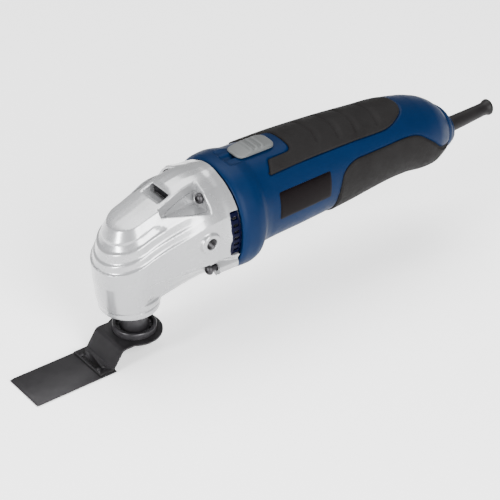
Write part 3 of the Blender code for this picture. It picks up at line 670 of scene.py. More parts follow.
    def loft(self, name: str, loops: list[np.ndarray], crown: float) -> bpy.types.Object:
        """Close a stack of loops with a flat bottom and a top that swells by crown times cap_crown."""
        bottom, top = loops[0], loops[-1]
        rows = [bottom * (k, 1, 1) for k in (0.0, 0.5)] + loops
        width = np.maximum(np.abs(top[:, 0]).max(), 1.0)
        front, rear = self.cap_crown
        swell = crown * (front + rear * ease(top[:, 1], 17.0, 26.0))
        for k in (0.9, 0.7, 0.4, 0.0):
            row = top * (k, 1, 1)
            row[:, 2] += swell * (1.0 - k * k) * np.abs(top[:, 0]) / width
            rows.append(row)
        return Workbench.rows_to_grid(name, np.array(rows))

    def build(self) -> bpy.types.Object:
        """The whole head: solid, cuts, softened edges, then the hollow."""
        bench = Workbench
        loops = [self.outline(level, inset, (start, end)) for level, inset, start, end in self.profile()]
        head = self.loft("head_shell", loops, 1.0)
        nose = bench.turned("nose", [(17.0, 36.1), (19.4, 36.1), (20.2, 36.8), (20.5, 38.0), (20.5, 40.4),
                                     (19.5, 41.2), (19.7, 41.9), (21.5, 43.2), (21.8, 47.0), (17.0, 47.0)],
                            UP, (0, self.drum_y, 0), 96)
        bench.join_shape(head, nose, "UNION")
        self.add_bosses(head)
        for tool in self.cutters():
            bench.join_shape(head, tool)
        bench.modify(head, "REMESH", mode="VOXEL", voxel_size=self.voxel * MM, adaptivity=0.0)
        bench.modify(head, "SMOOTH", factor=0.5, iterations=3)
        bench.join_shape(head, bench.block("trim", (-60.0, self.joint_y - 0.6, 20.0),
                                           (60.0, self.joint_y + 9.0, 140.0)))
        self.hollow(head)
        return bench.smooth(head, 50.0)

    def add_bosses(self, head: bpy.types.Object) -> None:
        """Join the two side-handle bosses to the head."""
        y, z, face = self.boss
        profile = [(7.4, 20.0), (7.4, face - 1.2), (7.0, face + 0.2), (6.4, face + 0.7), (6.0, face + 0.8),
                   (0.1, face + 0.8)]
        for side in (1, -1):
            boss = Workbench.turned("boss", profile, Vector((side, 0, 0)), (0, y, z), 48)
            Workbench.join_shape(head, boss, "UNION")
            x, height = self.screws["lower"]
            lug = Workbench.turned("lug", [(4.4, 44.0), (5.0, 44.8), (5.0, 59.6)], BACK,
                                   (side * x, 0, height), 32)
            Workbench.join_shape(head, lug, "UNION")

    def cutters(self) -> list[bpy.types.Object]:
        """Every tool that cuts the head before its edges are softened."""
        bench = Workbench
        tools: list[bpy.types.Object] = []
        y, z, _ = self.boss
        for side in (1, -1):
            tools.append(bench.turned("hole", [(4.0, 21.4), (4.0, 42.0)], Vector((side, 0, 0)),
                                      (0, y, z), 32))
            tools.append(self.pocket(side))
            low, high = sorted((side * 20.0, side * 50.0))
            tools.append(bench.block("window", (low, 53.0, 69.0), (high, 70.0, 101.0), 1.2))
            tools.append(bench.turned("notch", [(5.4, 22.0), (5.4, 44.4)], BACK,
                                      (side * 29.4, 0, 60.6), 32))
            for x, height in self.screws.values():
                tools.append(bench.turned("bolt", [(2.4, 38.0), (2.4, 66.0)], BACK,
                                          (side * x, 0, height), 24))
        tools.append(bench.block("vent", (-9.6, 20.0, 108.0), (9.6, 31.0, 114.0), 1.0))
        tools.append(self.vent_ramp())
        return tools

    def pocket(self, side: int) -> bpy.types.Object:
        """The channel in the cap's corner that an upper screw is driven through."""
        section_rear = [(12.0, 104.2), (28.4, 103.6), (40.0, 109.5), (30.0, 125.0), (11.0, 125.0),
                        (10.8, 112.0)]
        section_front = [(13.0, 105.2), (15.0, 104.6), (24.0, 112.0), (22.0, 125.0), (13.0, 125.0),
                         (12.4, 108.0)]
        rows = []
        for section, y in ((section_front, 10.0), (section_rear, 40.4)):
            rows.append([(side * x, y, z) for x, z in section])
        loops = np.array(rows)
        ends = [np.repeat(loops[:1].mean(axis=1, keepdims=True), 6, axis=1), loops[:1], loops[1:],
                np.repeat(loops[1:].mean(axis=1, keepdims=True), 6, axis=1)]
        return Workbench.rows_to_grid("pocket", np.concatenate(ends))

    def vent_ramp(self) -> bpy.types.Object:
        """The shallow ramp in front of the vent."""
        rows = []
        for y, depth in ((12.5, 0.3), (14.0, -0.3), (21.6, -4.9)):
            top = self.cap_start_z + self.cap_slope * (y - self.drum_y)
            rows.append([(-9.0, y, top + depth), (9.0, y, top + depth), (9.5, y, 130.0), (-9.5, y, 130.0)])
        loops = np.array(rows)
        ends = [np.repeat(loops[:1].mean(axis=1, keepdims=True), 4, axis=1), loops,
                np.repeat(loops[-1:].mean(axis=1, keepdims=True), 4, axis=1)]
        return Workbench.rows_to_grid("ramp", np.concatenate(ends))

    def hollow(self, head: bpy.types.Object) -> None:
        """Cut the gear space and the spindle's bore."""
        loops = []
        for level in (2.0, 3.0, 4.0, 5.0, 6.0, 7.0, 7.6):
            loop = self.outline(level, 0.0, (0.0, 1.0), self.wall, 66.0)
            if level == 2.0:
                loop[:, 2] = np.maximum(loop[:, 2], 49.5)
            loops.append(loop[::4])
        Workbench.join_shape(head, self.loft("space", loops, 0.0))
        Workbench.join_shape(head, Workbench.turned("bore", [(12.4, 30.0), (12.4, 50.0)], UP,
                                                    (0, 0, 0), 64))


# ---------------------------------------------------------------- barrel

@dataclass
class Barrel:
    """The one-piece motor housing and the surface that grips and labels lie on."""

    stations: list[tuple[float, ...]] = field(default_factory=lambda: [
        (60.6, 81.2, 36.6, 36.8), (62.0, 81.3, 37.6, 37.7), (65.0, 81.5, 38.4, 38.5),
        (72.0, 81.8, 38.8, 38.8), (77.5, 82.3, 37.8, 37.8), (83.0, 84.8, 34.5, 34.5),
        (89.0, 86.0, 33.2, 33.3), (120.0, 86.7, 32.4, 32.4), (160.0, 87.0, 30.2, 30.3),
        (200.0, 87.2, 27.2, 27.2), (216.0, 86.6, 26.6, 26.6), (230.0, 84.2, 26.2, 26.2),
        (242.0, 82.0, 24.6, 24.6), (252.0, 80.6, 20.4, 20.6), (258.0, 78.6, 16.6, 16.8)])
    power: float = 2.15
    spacing: float = 0.76
    wall: float = 2.6
    track_box: tuple[float, float, float, float] = (69.4, 109.6, 2.4, 1.2)
    bay_box: tuple[float, float, float, float] = (69.7, 88.0, 8.8, 3.0)
    bay_floor_z: float = 119.3

    def at(self, y: np.ndarray, angle: np.ndarray, lift: np.ndarray | float = 0.0) -> np.ndarray:
        """Millimetre points on the barrel at y and angle in radians from +X, raised by lift."""
        size = track(self.stations, y)
        c, s = np.cos(angle), np.sin(angle)
        x = (size[:, 1] + lift) * np.sign(c) * np.abs(c) ** (2.0 / self.power)
        z = (size[:, 2] + lift) * np.sign(s) * np.abs(s) ** (2.0 / self.power)
        return np.stack([x, y, size[:, 0] + z], 1)

    def radius(self, y: np.ndarray) -> np.ndarray:
        """Mean radius of the barrel at y."""
        return track(self.stations, y)[:, 1]

    def chart(self, points: Sequence[tuple[float, float]], pole: float) -> Outline:
        """Turn (y, degrees) into (y, arc) measured from the line at pole degrees."""
        y = np.array([p[0] for p in points], float)
        arc = np.radians(np.array([p[1] for p in points]) - pole) * self.radius(y)
        return [(float(a), float(b)) for a, b in zip(y, arc)]

    def relief(self, y: np.ndarray, angle: np.ndarray) -> np.ndarray:
        """How far the blue surface is sunk under the grips, round them and in the switch's track."""
        depth = np.zeros_like(y)
        for outline, pole in ((Grips.top_outline(self), 90.0), (Grips.lower_outline(self), -90.0)):
            turn = (angle - math.radians(pole) + math.pi) % TWO_PI - math.pi
            inside, _ = inside_distance(outline, np.stack([y, turn * self.radius(y)], 1))
            depth -= 1.15 * ease(inside, -0.85, -0.2)
        turn = (angle - math.pi / 2 + math.pi) % TWO_PI - math.pi
        across = turn * self.radius(y)
        slide, bay = (self.box_distance(box, y, across) for box in (self.track_box, self.bay_box))
        size = track(self.stations, y)
        depth -= np.clip(size[:, 0] + size[:, 2] - self.bay_floor_z, 0.0, 2.0) * ease(bay, -0.5, 0.2)
        return depth - 2.0 * ease(slide, -0.5, 0.5)

    @staticmethod
    def box_distance(box: tuple[float, float, float, float], y: np.ndarray, across: np.ndarray) -> np.ndarray:
        """Distance inside a rounded box of (front, rear, half width, corner radius) on the barrel's back."""
        front, rear, half, radius = box
        outline = rounded([(front, -half), (rear, -half), (rear, half), (front, half)], [radius] * 4)
        return inside_distance(outline, np.stack([y, across], 1))[0]

    def build(self) -> bpy.types.Object:
        """The barrel as one closed wall, open in front."""
        first, last = self.stations[0][0], self.stations[-1][0]
        around = int(round(TWO_PI * 34.0 / self.spacing))
        stops = [(first + 0.35, -1.2), (first, -0.6), (first, -0.15)]
        stops += [(y, 0.0) for y in np.arange(first + 0.4, last, self.spacing)] + [(last, 0.0)]
        inner = [(last, -5.6)] + [(y, -self.wall) for y in np.linspace(250.0, 66.0, 12)]
        inner.append((first + 0.3, -self.wall))
        stops += inner
        table = np.array(stops)
        outer_count = len(stops) - len(inner)

        def shape(u: np.ndarray, v: np.ndarray) -> np.ndarray:
            row = np.rint(v * (len(stops))).astype(int) % len(stops)
            angle = TWO_PI * np.rint(u * around) / around
            y, lift = table[row, 0], table[row, 1].copy()
            outside = row < outer_count
            lift[outside] += self.relief(y[outside], angle[outside])
            return self.at(y, angle, lift)

        barrel = Workbench.grid("barrel_shell", around, len(stops), shape)
        return Workbench.smooth(barrel, 60.0)

    def build_cap(self) -> bpy.types.Object:
        """The rounded rear end with its hole for the sleeve."""
        angle = TWO_PI * np.arange(128) / 128
        end = np.full(128, self.stations[-1][0])
        rows = []
        base = self.at(end, angle)
        boss = np.stack([12.2 * np.cos(angle), end, 74.6 + 12.2 * np.sin(angle)], 1)
        for share, y in ((0.0, 258.12), (0.02, 259.0), (0.1, 260.6), (0.25, 262.2), (0.5, 263.8),
                         (0.8, 265.0), (1.0, 266.0)):
            row = base * (1 - share) + boss * share
            row[:, 1] = y
            rows.append(row)
        for radius, y in ((11.9, 267.4), (11.3, 268.4), (10.2, 268.9), (6.6, 269.0), (6.4, 268.6),
                          (6.4, 262.0), (6.4, 258.4)):
            rows.append(np.stack([radius * np.cos(angle), np.full(128, y), 74.6 + radius * np.sin(angle)], 1))
        rows.append(rows[0])
        return Workbench.smooth(Workbench.rows_to_grid("barrel_end", np.array(rows)), 50.0)

    def patch(self, name: str, outline: Outline, pole: float, spacing: float,
              height: Callable[[np.ndarray, np.ndarray, np.ndarray], np.ndarray],
              thick: float) -> bpy.types.Object:
        """A piece that lies over the barrel inside an outline.

        Args:
            name: Name of the piece.
            outline: Closed outline in (y, arc).
            pole: Angle in degrees that arcs are measured from.
            spacing: Size of the grid's cells.
            height: Height above the barrel from distance inside, y and arc.
            thick: Thickness of the piece.

        Returns:
            The closed piece.
        """
        corners = np.array(outline)
        low, high = corners.min(axis=0) - spacing, corners.max(axis=0) + spacing
        counts = np.ceil((high - low) / spacing).astype(int)
        Workbench.clear_selection()
        bpy.ops.mesh.primitive_grid_add(x_subdivisions=int(counts[0]), y_subdivisions=int(counts[1]),
                                        size=1.0)
        piece = Workbench.named(name)
        mesh = piece.data
        spots = self.flat_points(mesh)
        spots = low + (spots + 0.5) * (high - low)
        inside, _ = inside_distance(outline, spots)
        self.drop_points(piece, inside < -0.35 * spacing)
        spots = low + (self.flat_points(mesh) + 0.5) * (high - low)
        inside, nearest = inside_distance(outline, spots)
        ends = np.empty(len(mesh.edges) * 2, int)
        mesh.edges.foreach_get("vertices", ends)
        loops = np.empty(len(mesh.loops), int)
        mesh.loops.foreach_get("edge_index", loops)
        border = np.zeros(len(spots), bool)
        border[ends.reshape(-1, 2)[np.bincount(loops, minlength=len(mesh.edges)) == 1]] = True
        border |= inside < 0.0
        spots[border] = nearest[border]
        inside[border] = 0.0
        angle = math.radians(pole) + spots[:, 1] / self.radius(spots[:, 0])
        points = self.at(spots[:, 0], angle, height(inside, spots[:, 0], spots[:, 1]))
        mesh.vertices.foreach_set("co", Workbench.place_all(points).ravel())
        mesh.update()
        Workbench.tidy(piece)
        self.face_out(piece)
        Workbench.modify(piece, "SOLIDIFY", thickness=thick * MM, offset=-1.0, use_rim=True)
        return Workbench.smooth(piece, 50.0)

    @staticmethod
    def flat_points(mesh: bpy.types.Mesh) -> np.ndarray:
        """The (x, y) of a flat grid's points."""
        flat = np.empty(len(mesh.vertices) * 3)
        mesh.vertices.foreach_get("co", flat)
        return flat.reshape(-1, 3)[:, :2].copy()

    @staticmethod
    def drop_points(piece: bpy.types.Object, unwanted: np.ndarray) -> None:
        """Delete the marked points of a piece."""
        Workbench.only(piece)
        bpy.ops.object.mode_set(mode="EDIT")
        bpy.ops.mesh.select_all(action="DESELECT")
        bpy.ops.object.mode_set(mode="OBJECT")
        piece.data.vertices.foreach_set("select", unwanted)
        bpy.ops.object.mode_set(mode="EDIT")
        bpy.ops.mesh.select_mode(type="VERT")
        bpy.ops.mesh.delete(type="VERT")
        bpy.ops.object.mode_set(mode="OBJECT")

    def face_out(self, piece: bpy.types.Object) -> None:
        """Turn a patch's faces away from the barrel's middle."""
        mesh = piece.data
        votes = 0.0
        for face in list(mesh.polygons)[::97]:
            centre = face.center / MM
            axis_z = float(track(self.stations, np.array([centre.y + Workbench.mid_y]))[0, 0])
            votes += face.normal.x * centre.x + face.normal.z * (centre.z - axis_z)
        if votes < 0.0:
            Workbench.only(piece)
            bpy.ops.object.mode_set(mode="EDIT")
            bpy.ops.mesh.select_all(action="SELECT")
            bpy.ops.mesh.flip_normals()
            bpy.ops.object.mode_set(mode="OBJECT")


class Grips:
    """The soft grips on the barrel's back and belly."""

    ridges = [(139.5, 13.5), (157.0, 15.5), (172.5, 15.5), (191.5, 15.0)]

    @staticmethod
    def top_outline(barrel: Barrel) -> Outline:
        """Outline of the upper grip, with the bay for the switch in front."""
        right = [(117.3, 66.5), (97.0, 66.0), (92.0, 46.5), (199.0, 46.5), (217.0, 70.0)]
        left = [(y, 180.0 - angle) for y, angle in reversed(right)]
        corners = barrel.chart(right + left, 90.0)
        return rounded(corners, [6.0, 1.5, 1.2, 12.0, 16.0, 16.0, 12.0, 1.2, 1.5, 6.0], 8)

    @staticmethod
    def lower_outline(barrel: Barrel) -> Outline:
        """Outline of the lower grip, which wraps round the belly."""
        right = [(146.2, -34.0), (146.6, -9.0), (149.7, 11.4), (154.5, 19.0), (162.4, 24.0), (193.0, 23.0),
                 (213.5, 23.7), (222.4, 20.7), (234.6, 7.0), (244.6, -7.3), (251.0, -13.0), (257.2, -13.0)]
        left = [(y, -180.0 - angle) for y, angle in reversed(right)]
        corners = barrel.chart(right + left, -90.0)
        radii = [4.0, 8.0, 4.0, 4.0, 8.0, 8.0, 6.0, 6.0, 6.0, 5.0, 4.0, 0.3]
        return rounded(corners, radii + radii[::-1], 5)

    @staticmethod
    def edge_height(inside: np.ndarray) -> np.ndarray:
        """Height of a grip's rounded edge from the distance inside it."""
        share = np.clip(inside / 1.5, 0.0, 1.0)
        return -0.5 + 1.5 * np.sqrt(np.clip(1.0 - (1.0 - share) ** 2, 0.0, 1.0))

    @classmethod
    def top_height(cls, inside: np.ndarray, y: np.ndarray, arc: np.ndarray) -> np.ndarray:
        """Height of the upper grip, with its thumb ridges."""
        height = cls.edge_height(inside)
        for middle, reach in cls.ridges:
            past = y - (middle - 0.011 * arc ** 2)
            fade = 1.0 - ease(np.abs(arc), reach * 0.9, reach * 1.15)
            height -= 1.2 * fade * np.where(past < 0.0, ease(past, -0.6, 0.0), 1.0 - ease(past, 0.0, 5.5))
        return height

    @classmethod
    def lower_height(cls, inside: np.ndarray, y: np.ndarray, arc: np.ndarray) -> np.ndarray:
        """Height of the lower grip, with the foot near its rear end."""
        foot = np.hypot((y - 219.0) / 15.0, arc / 13.0)
        return cls.edge_height(inside) + 2.2 * (1.0 - ease(foot, 0.55, 1.0))

    def build(self, barrel: Barrel) -> tuple[bpy.types.Object, bpy.types.Object]:
        """Both grips."""
        top = barrel.patch("upper_grip_skin", self.top_outline(barrel), 90.0, 0.62, self.top_height, 1.6)
        low = barrel.patch("lower_grip_skin", self.lower_outline(barrel), -90.0, 0.8, self.lower_height, 1.6)
        return top, low


class Labels:
    """The two blank plates on the barrel's sides."""

    @staticmethod
    def build(barrel: Barrel, name: str, pole: float) -> bpy.types.Object:
        """One plate, a thin film with rounded corners."""
        corners = [(94.0, -16.0), (138.0, -16.0), (138.0, 16.0), (94.0, 16.0)]
        outline = rounded(barrel.chart([(y, pole + turn) for y, turn in corners], pole), [1.0] * 4, 4)

        def height(inside: np.ndarray, y: np.ndarray, arc: np.ndarray) -> np.ndarray:
            return 0.12 + 0.18 * ease(inside, 0.0, 0.5)

        return barrel.patch(name, outline, pole, 1.0, height, 0.35)


# ---------------------------------------------------------------- small parts

@dataclass
class Switch:
    """The sliding thumb switch."""

    front_y: float = 78.5
    rear_y: float = 108.5
    half: float = 8.2
    base_z: float = 119.75
    top_z: float = 122.9

    def crown(self, x: np.ndarray, y: np.ndarray) -> np.ndarray:
        """Height of the top: low in front, with three ribs across the middle."""
        share = (y - self.front_y) / (self.rear_y - self.front_y)
        height = self.top_z - 1.3 * (1.0 - ease(share, 0.0, 0.4)) - 0.5 * ease(share, 0.75, 1.0)
        ribs = np.zeros_like(y)
        for middle in (89.6, 94.2, 98.8):
            ribs += np.exp(-((y - middle) / 1.35) ** 4)
        edge = 1.0 - ease(np.abs(x), self.half - 2.2, self.half - 0.9)
        return height - 0.5 + 1.3 * ribs * edge - 0.35 * (x / self.half) ** 2

    def build(self) -> bpy.types.Object:
        """The slider as one closed shell."""
        middle = (self.front_y + self.rear_y) / 2.0
        length = (self.rear_y - self.front_y) / 2.0
        side = np.linspace(-1.0, 1.0, 91)
        rows = []
        for inset, level in ((0.0, 0.0), (0.0, 0.45), (0.05, 0.72), (0.3, 0.9), (0.8, 1.0)):
            y = middle + (length - inset) * np.sin(side * math.pi / 2)
            taper = np.clip(1.0 - np.abs(np.sin(side * math.pi / 2)) ** 7, 0.0, 1.0) ** 0.27
            wide = (self.half - inset) * taper
            x = np.concatenate([wide, -wide[::-1][1:-1]])
            y = np.concatenate([y, y[::-1][1:-1]])
            z = self.base_z + (self.crown(x, y) - self.base_z) * level
            rows.append(np.stack([x, y, z], 1))
        top = rows[-1]
        for k in (0.93, 0.84, 0.75, 0.6, 0.4, 0.2, 0.0):
            row = top * (k, 1, 1)
            row[:, 2] = self.crown(row[:, 0], row[:, 1])
            rows.append(row)
        bottom = rows[0] * (0.0, 1, 1)
        slider = Workbench.rows_to_grid("thumb_slider", np.array([bottom] + rows))
        stem = Workbench.block("stem", (-2.2, 104.0, 109.9), (2.2, 107.6, 121.0), 0.4)
        Workbench.join_shape(slider, stem, "UNION")
        return Workbench.smooth(slider, 45.0)


@dataclass
class Sleeve:
    """The cord's strain relief: a tapered rubber sleeve with a flared lip."""

    axis_z: float = 74.6
    rise: float = 2.2

    def build(self) -> bpy.types.Object:
        """The sleeve, rising a little towards its lip."""
        profile = [(3.6, 250.0), (6.0, 250.0), (6.0, 262.0), (5.75, 264.0), (5.7, 272.0), (5.5, 279.0),
                   (5.3, 286.0), (5.1, 293.0), (4.9, 300.0), (4.8, 304.5), (4.9, 306.3), (5.3, 307.7),
                   (5.8, 308.7), (6.0, 309.6), (5.95, 310.4), (5.6, 310.9), (5.1, 311.0), (4.3, 311.0),
                   (3.8, 310.6), (3.6, 310.0), (3.6, 290.0)]
        sleeve = Workbench.turned("cord_sleeve", profile, BACK, (0, 0, self.axis_z), 48, ring=True)
        root = Workbench.place(0, 270.0, 0).y
        for point in sleeve.data.vertices:
            point.co.z += self.rise * MM * max(0.0, (point.co.y - root) / (41.0 * MM)) ** 1.3
        Workbench.modify(sleeve, "BEVEL", width=0.15 * MM, segments=2, limit_method="ANGLE",
                         angle_limit=math.radians(50))
        return Workbench.smooth(sleeve, 60.0)


@dataclass
class Screw:
    """A pan-head screw with a cross recess."""

    head_y: float = 40.0

    def build(self, name: str, x: float, z: float) -> bpy.types.Object:
        """One screw with its head in the pocket."""
        bench = Workbench
        profile = [(0.3, -3.3), (1.4, -3.2), (2.4, -2.9), (3.1, -2.3), (3.5, -1.5), (3.6, -0.8), (3.6, -0.3),
                   (2.0, -0.25), (2.0, 29.5), (1.2, 30.0)]
        screw = bench.turned(name, profile, BACK, (x, self.head_y, z), 40)
        for wide, tall in ((1.9, 0.42), (0.42, 1.9)):
            arm = bench.block("arm", (x - wide, self.head_y - 5.0, z - tall),
                              (x + wide, self.head_y - 1.7, z + tall), 0.12, 2)
            bench.join_shape(screw, arm)
        return bench.smooth(screw, 40.0)


@dataclass
class Accessory:
    """The cranked blade with its holder, the tool flange and the clamp."""

    blade_half: float = 16.5
    plate_radius: float = 18.7
    plate_top: float = 14.6
    thick: float = 1.2

    def build_blade(self) -> bpy.types.Object:
        """Flat blade: a block cut across and ground thin along its front edge."""
        bench = Workbench
        blade = bench.block("blade_plate", (-self.blade_half, BLADE_TIP_Y, 0.0),
                            (self.blade_half, -25.7, 1.0))
        bpy.ops.object.mode_set(mode="EDIT")
        for y in (BLADE_TIP_Y + 3.0, BLADE_TIP_Y + 3.4, -38.6):
            bpy.ops.mesh.select_all(action="SELECT")
            bpy.ops.mesh.bisect(plane_co=bench.place(0, y, 0), plane_no=(0, 1, 0))
        bpy.ops.object.mode_set(mode="OBJECT")
        tip = bench.place(0, BLADE_TIP_Y, 0).y
        for point in blade.data.vertices:
            if point.co.y < tip + 0.0001 and point.co.z > 0.0005:
                point.co.z = 0.00035
        bench.modify(blade, "BEVEL", width=0.12 * MM, segments=2, limit_method="ANGLE",
                     angle_limit=math.radians(50))
        return bench.smooth(blade, 30.0)

    def build_holder(self) -> bpy.types.Object:
        """Cranked holder: strip extruded along its folds, joined to the round plate."""
        bench = Workbench
        bench.clear_selection()
        bpy.ops.mesh.primitive_plane_add(size=1.0, location=(0, 0, 0))
        strip = bench.named("blade_holder")
        path = [(-38.0, 1.3), (-28.2, 1.3), (-27.2, 1.5), (-26.5, 2.2), (-20.2, 12.0), (-19.3, 13.0),
                (-18.2, 13.4), (-4.0, 13.4)]
        for point in strip.data.vertices:
            near = point.co.y < 0.0
            point.co = bench.place(math.copysign(15.5, point.co.x), path[0][0] if near else path[1][0], 1.3)
        bench.only(strip)
        bpy.ops.object.mode_set(mode="EDIT")
        bpy.ops.mesh.select_mode(type="EDGE")
        bpy.ops.mesh.select_all(action="DESELECT")
        bpy.ops.object.mode_set(mode="OBJECT")
        rear = bench.place(0, path[1][0], 0).y
        for edge in strip.data.edges:
            edge.select = all(abs(strip.data.vertices[i].co.y - rear) < 1e-6 for i in edge.vertices)
        bpy.ops.object.mode_set(mode="EDIT")
        for near, far in zip(path[1:], path[2:]):
            bpy.ops.mesh.extrude_edges_move(TRANSFORM_OT_translate={
                "value": (0, (far[0] - near[0]) * MM, (far[1] - near[1]) * MM)})
        bpy.ops.mesh.select_all(action="SELECT")
        bpy.ops.mesh.normals_make_consistent(inside=False)
        bpy.ops.object.mode_set(mode="OBJECT")
        if sum(face.normal.z for face in strip.data.polygons) < 0.0:
            strip.data.flip_normals()
        bench.modify(strip, "SOLIDIFY", thickness=self.thick * MM, offset=1.0)
        plate = bench.turned("plate", [(self.plate_radius, self.plate_top - self.thick),
                                       (self.plate_radius, self.plate_top)], UP, (0, 0, 0), 96)
        bench.join_shape(strip, plate, "UNION")
        hole = bench.turned("hole", [(3.3, 10.0), (3.3, 18.0)], UP, (0, 0, 0), 32)
        bench.join_shape(strip, hole)
        for x, y in ((-9.5, -35.2), (9.5, -35.2), (-9.5, -31.0), (9.5, -31.0)):
            weld = bench.turned("weld", [(0.4, 2.0), (1.5, 2.0), (1.5, 2.5), (1.1, 2.75), (0.4, 2.8)],
                                UP, (x, y, 0), 20)
            bench.join_shape(strip, weld, "UNION")
        bench.modify(strip, "BEVEL", width=0.12 * MM, segments=2, limit_method="ANGLE",
                     angle_limit=math.radians(55))
        return bench.smooth(strip, 35.0)

    def build_flange(self) -> bpy.types.Object:
        """Cup-shaped flange with its rim, boss and drive pins."""
        bench = Workbench
        profile = [(3.4, 14.9), (14.2, 14.9), (14.7, 15.3), (14.7, 19.2), (14.4, 19.6), (13.9, 19.7),
                   (12.9, 19.7), (12.5, 19.4), (12.2, 16.9), (11.9, 16.6), (9.7, 16.6), (9.2, 17.0),
                   (9.0, 19.0), (8.7, 26.0), (8.4, 32.4), (7.9, 33.0), (5.3, 33.0), (5.3, 21.7), (3.4, 21.7)]
        flange = bench.turned("flange_cup", profile, UP, (0, 0, 0), 72, ring=True)
        for i in range(12):
            angle = TWO_PI * (i + 0.5) / 12
            pin = bench.turned("pin", [(0.3, 16.3), (0.95, 16.3), (0.95, 17.3), (0.6, 17.7), (0.3, 17.75)],
                               UP, (10.8 * math.cos(angle), 10.8 * math.sin(angle), 0), 12)
            bench.join_shape(flange, pin, "UNION")
        return bench.smooth(flange, 35.0)

    def build_clamp(self) -> tuple[bpy.types.Object, bpy.types.Object]:
        """Washer and hex-socket screw under the plate."""
        bench = Workbench
        profile = [(3.3, 11.3), (3.5, 11.1), (9.6, 11.1), (10.0, 11.5), (10.0, 12.8), (9.7, 13.1),
                   (3.5, 13.1), (3.3, 12.9)]
        washer = bench.turned("clamp_disc", profile, UP, (0, 0, 0), 64, ring=True)
        profile = [(0.3, 5.4), (6.4, 5.4), (6.9, 5.7), (7.2, 6.3), (7.2, 10.4), (7.0, 10.8), (3.0, 10.8),
                   (3.0, 20.8), (2.6, 21.2), (0.3, 21.2)]
        screw = bench.turned("clamp_bolt", profile, UP, (0, 0, 0), 48)
        bench.join_shape(screw, bench.turned("socket", [(2.9, 4.0), (2.9, 8.2)], UP, (0, 0, 0), 6))
        return bench.smooth(washer, 40.0), bench.smooth(screw, 35.0)


@dataclass
class JointParts:
    """What shows in the head's openings: the vented ring, the vent and the threaded inserts."""

    def build_ring(self) -> bpy.types.Object:
        """Ring behind the joint windows, with slots through its wall."""
        bench = Workbench
        profile = [(33.4, 52.0), (35.0, 52.0), (35.3, 52.6), (35.3, 54.0), (34.4, 54.2), (34.4, 60.3),
                   (33.4, 60.3)]
        ring = bench.turned("vent_ring", profile, BACK, (0, 0, JOINT_Z), 128, ring=True)
        for side in (1, -1):
            for i in range(7):
                z = 71.5 + 4.5 * i
                low, high = sorted((side * 28.0, side * 40.0))
                slot = bench.block("slot", (low, 55.0, z), (high, 59.2, z + 2.2), 0.4, 2)
                bench.join_shape(ring, slot)
        return bench.smooth(ring, 40.0)

    def build_vent(self) -> bpy.types.Object:
        """Dark louvre in the cap's vent."""
        louvre = Workbench.block("vent_louvre", (-10.2, 23.6, 107.0), (10.2, 27.0, 114.4), 0.5)
        return Workbench.smooth(louvre, 40.0)

    def build_insert(self, name: str, side: int) -> bpy.types.Object:
        """Threaded insert in a side-handle hole."""
        profile: list[tuple[float, float]] = [(4.25, 22.0), (4.25, 33.0)]
        along = 33.0
        while along > 22.8:
            profile += [(3.9, along - 0.02), (3.25, along - 0.6), (3.9, along - 1.2)]
            along -= 1.25
        profile.append((3.6, 22.0))
        insert = Workbench.turned(name, profile, Vector((side, 0, 0)), (0, 37.6, 84.3), 48, ring=True)
        return Workbench.smooth(insert, 30.0)


# ---------------------------------------------------------------- studio

class Studio:
    """Pale floor, soft light and the camera."""

    aim = Vector((0.0, -0.03, 0.07))
    soft_boxes = {
        "right_box": ((1.35, -0.2, 0.72), (0.7, 1.3), 66.0),
        "left_box": ((0.1, -1.35, 0.42), (0.26, 0.6), 34.0),
        "top_box": ((-0.5, 0.2, 1.7), (1.4, 1.4), 50.0),
    }

    @staticmethod
    def build_floor() -> None:
        """A wide pale floor under the blade."""
        Workbench.clear_selection()
        bpy.ops.mesh.primitive_plane_add(size=8.0, location=(0, 0, -0.0006))
        floor = Workbench.named("studio_floor")
        material = bpy.data.materials.new("floor_paper")
        material.use_nodes = True
        shader = material.node_tree.nodes["Principled BSDF"]
        shader.inputs["Base Color"].default_value = (0.93, 0.93, 0.93, 1.0)
        shader.inputs["Roughness"].default_value = 0.9
        shader.inputs["Emission Color"].default_value = (1.0, 1.0, 1.0, 1.0)
        shader.inputs["Emission Strength"].default_value = 0.4
        floor.data.materials.append(material)

    @classmethod
    def add_light(cls, name: str, place: tuple[float, float, float], size: tuple[float, float],
                  power: float) -> None:
        """Add one soft rectangular light that faces the tool."""
        bpy.ops.object.light_add(type="AREA", location=place)
        lamp = bpy.context.active_object
        lamp.name = name
        lamp.data.shape = "RECTANGLE"
        lamp.data.size, lamp.data.size_y = size
        lamp.data.energy = power
        lamp.visible_camera = False
        lamp.rotation_euler = (cls.aim - Vector(place)).to_track_quat("-Z", "Y").to_euler()

    @classmethod
    def build_light(cls) -> None:
        """World glow and the studio's soft boxes."""
        world = bpy.data.worlds.new("studio")
        bpy.context.scene.world = world
        world.use_nodes = True
        glow = world.node_tree.nodes["Background"]
        glow.inputs["Color"].default_value = (1.0, 1.0, 1.0, 1.0)
        glow.inputs["Strength"].default_value = 0.5
        for name, (place, size, power) in cls.soft_boxes.items():
            cls.add_light(name, place, size, power)

    @staticmethod
    def build_camera() -> None:
        """The camera, long-lensed and a little above the tool."""
        data = bpy.data.cameras.new("view")
        data.lens = 142.19
        data.sensor_width = 36.0
        camera = bpy.data.objects.new("view", data)
        bpy.context.scene.collection.objects.link(camera)
        columns = ((0.61135, 0.79110, 0.02005), (-0.45589, 0.33137, 0.82604),
                   (0.64684, -0.51414, 0.56324))
        turn = Matrix(columns).transposed().to_4x4()
        camera.matrix_world = Matrix.Translation((0.86235, -0.70239, 0.78911)) @ turn
        bpy.context.scene.camera = camera


def carried_slots(record: dict) -> dict[str, str]:
    """The material slot of each node in the record."""
    return {part["node"]: part["material_slot"] for part in record["subparts"]}


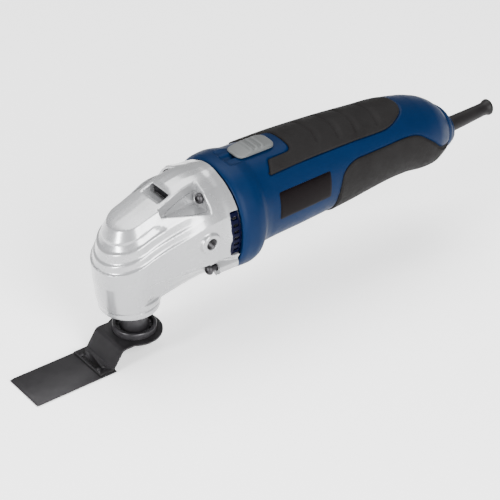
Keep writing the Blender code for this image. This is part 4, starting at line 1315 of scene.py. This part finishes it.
def main() -> None:
    """Build the studio, then the tool piece by piece."""
    logging.basicConfig(level=logging.INFO, format="%(message)s")
    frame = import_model()
    Workbench.clear_selection()
    Workbench.set_origin()
    Studio.build_camera()
    Studio.build_floor()
    Studio.build_light()
    dresser = Dresser(frame["record"])
    slots = carried_slots(frame["record"])
    for name, node in frame["nodes"].items():
        dresser.paint(node, slots[name])

    head = Head()
    dresser.finish(head.build(), "silver_paint", Body.HOUSING, "gearbox_housing")
    barrel = Barrel()
    dresser.finish(barrel.build(), "blue_plastic", Body.HOUSING, "motor_housing")
    dresser.finish(barrel.build_cap(), "blue_plastic", Body.HOUSING, "rear_cap")
    top, low = Grips().build(barrel)
    dresser.finish(top, "grip_rubber", Body.HOUSING, "top_grip")
    dresser.finish(low, "grip_rubber", Body.HOUSING, "lower_grip")
    for name, pole, node in (("name_plate", 7.5, "side_label"), ("rating_plate", 172.5, "rating_label")):
        dresser.finish(Labels.build(barrel, name, pole), "label_film", Body.HOUSING, node)
    dresser.finish(Switch().build(), "switch_plastic", Body.SWITCH, "switch_slider")
    dresser.finish(Sleeve().build(), "sleeve_rubber", Body.HOUSING, "strain_relief")
    for row, (x, z) in head.screws.items():
        for side, sign in (("left", 1.0), ("right", -1.0)):
            screw = Screw().build(f"pan_screw_{row}_{side}", sign * x, z)
            dresser.finish(screw, "dark_steel", Body.HOUSING, f"head_screw_{row}_{side}")
    joint = JointParts()
    dresser.finish(joint.build_ring(), "navy_plastic", Body.HOUSING)
    dresser.finish(joint.build_vent(), "black_plastic", Body.HOUSING)
    for side, sign in (("left", 1), ("right", -1)):
        dresser.finish(joint.build_insert(f"handle_thread_{side}", sign), "dark_steel", Body.HOUSING)
    accessory = Accessory()
    dresser.finish(accessory.build_blade(), "blade_steel", Body.SPINDLE, "blade")
    dresser.finish(accessory.build_holder(), "blade_steel", Body.SPINDLE, "accessory_holder")
    dresser.finish(accessory.build_flange(), "dark_steel", Body.SPINDLE, "tool_flange")
    washer, bolt = accessory.build_clamp()
    dresser.finish(washer, "dark_steel", Body.SPINDLE, "clamp_washer")
    dresser.finish(bolt, "dark_steel", Body.SPINDLE, "clamp_screw")
    Workbench.clear_selection()


if __name__ == "__main__":
    main()
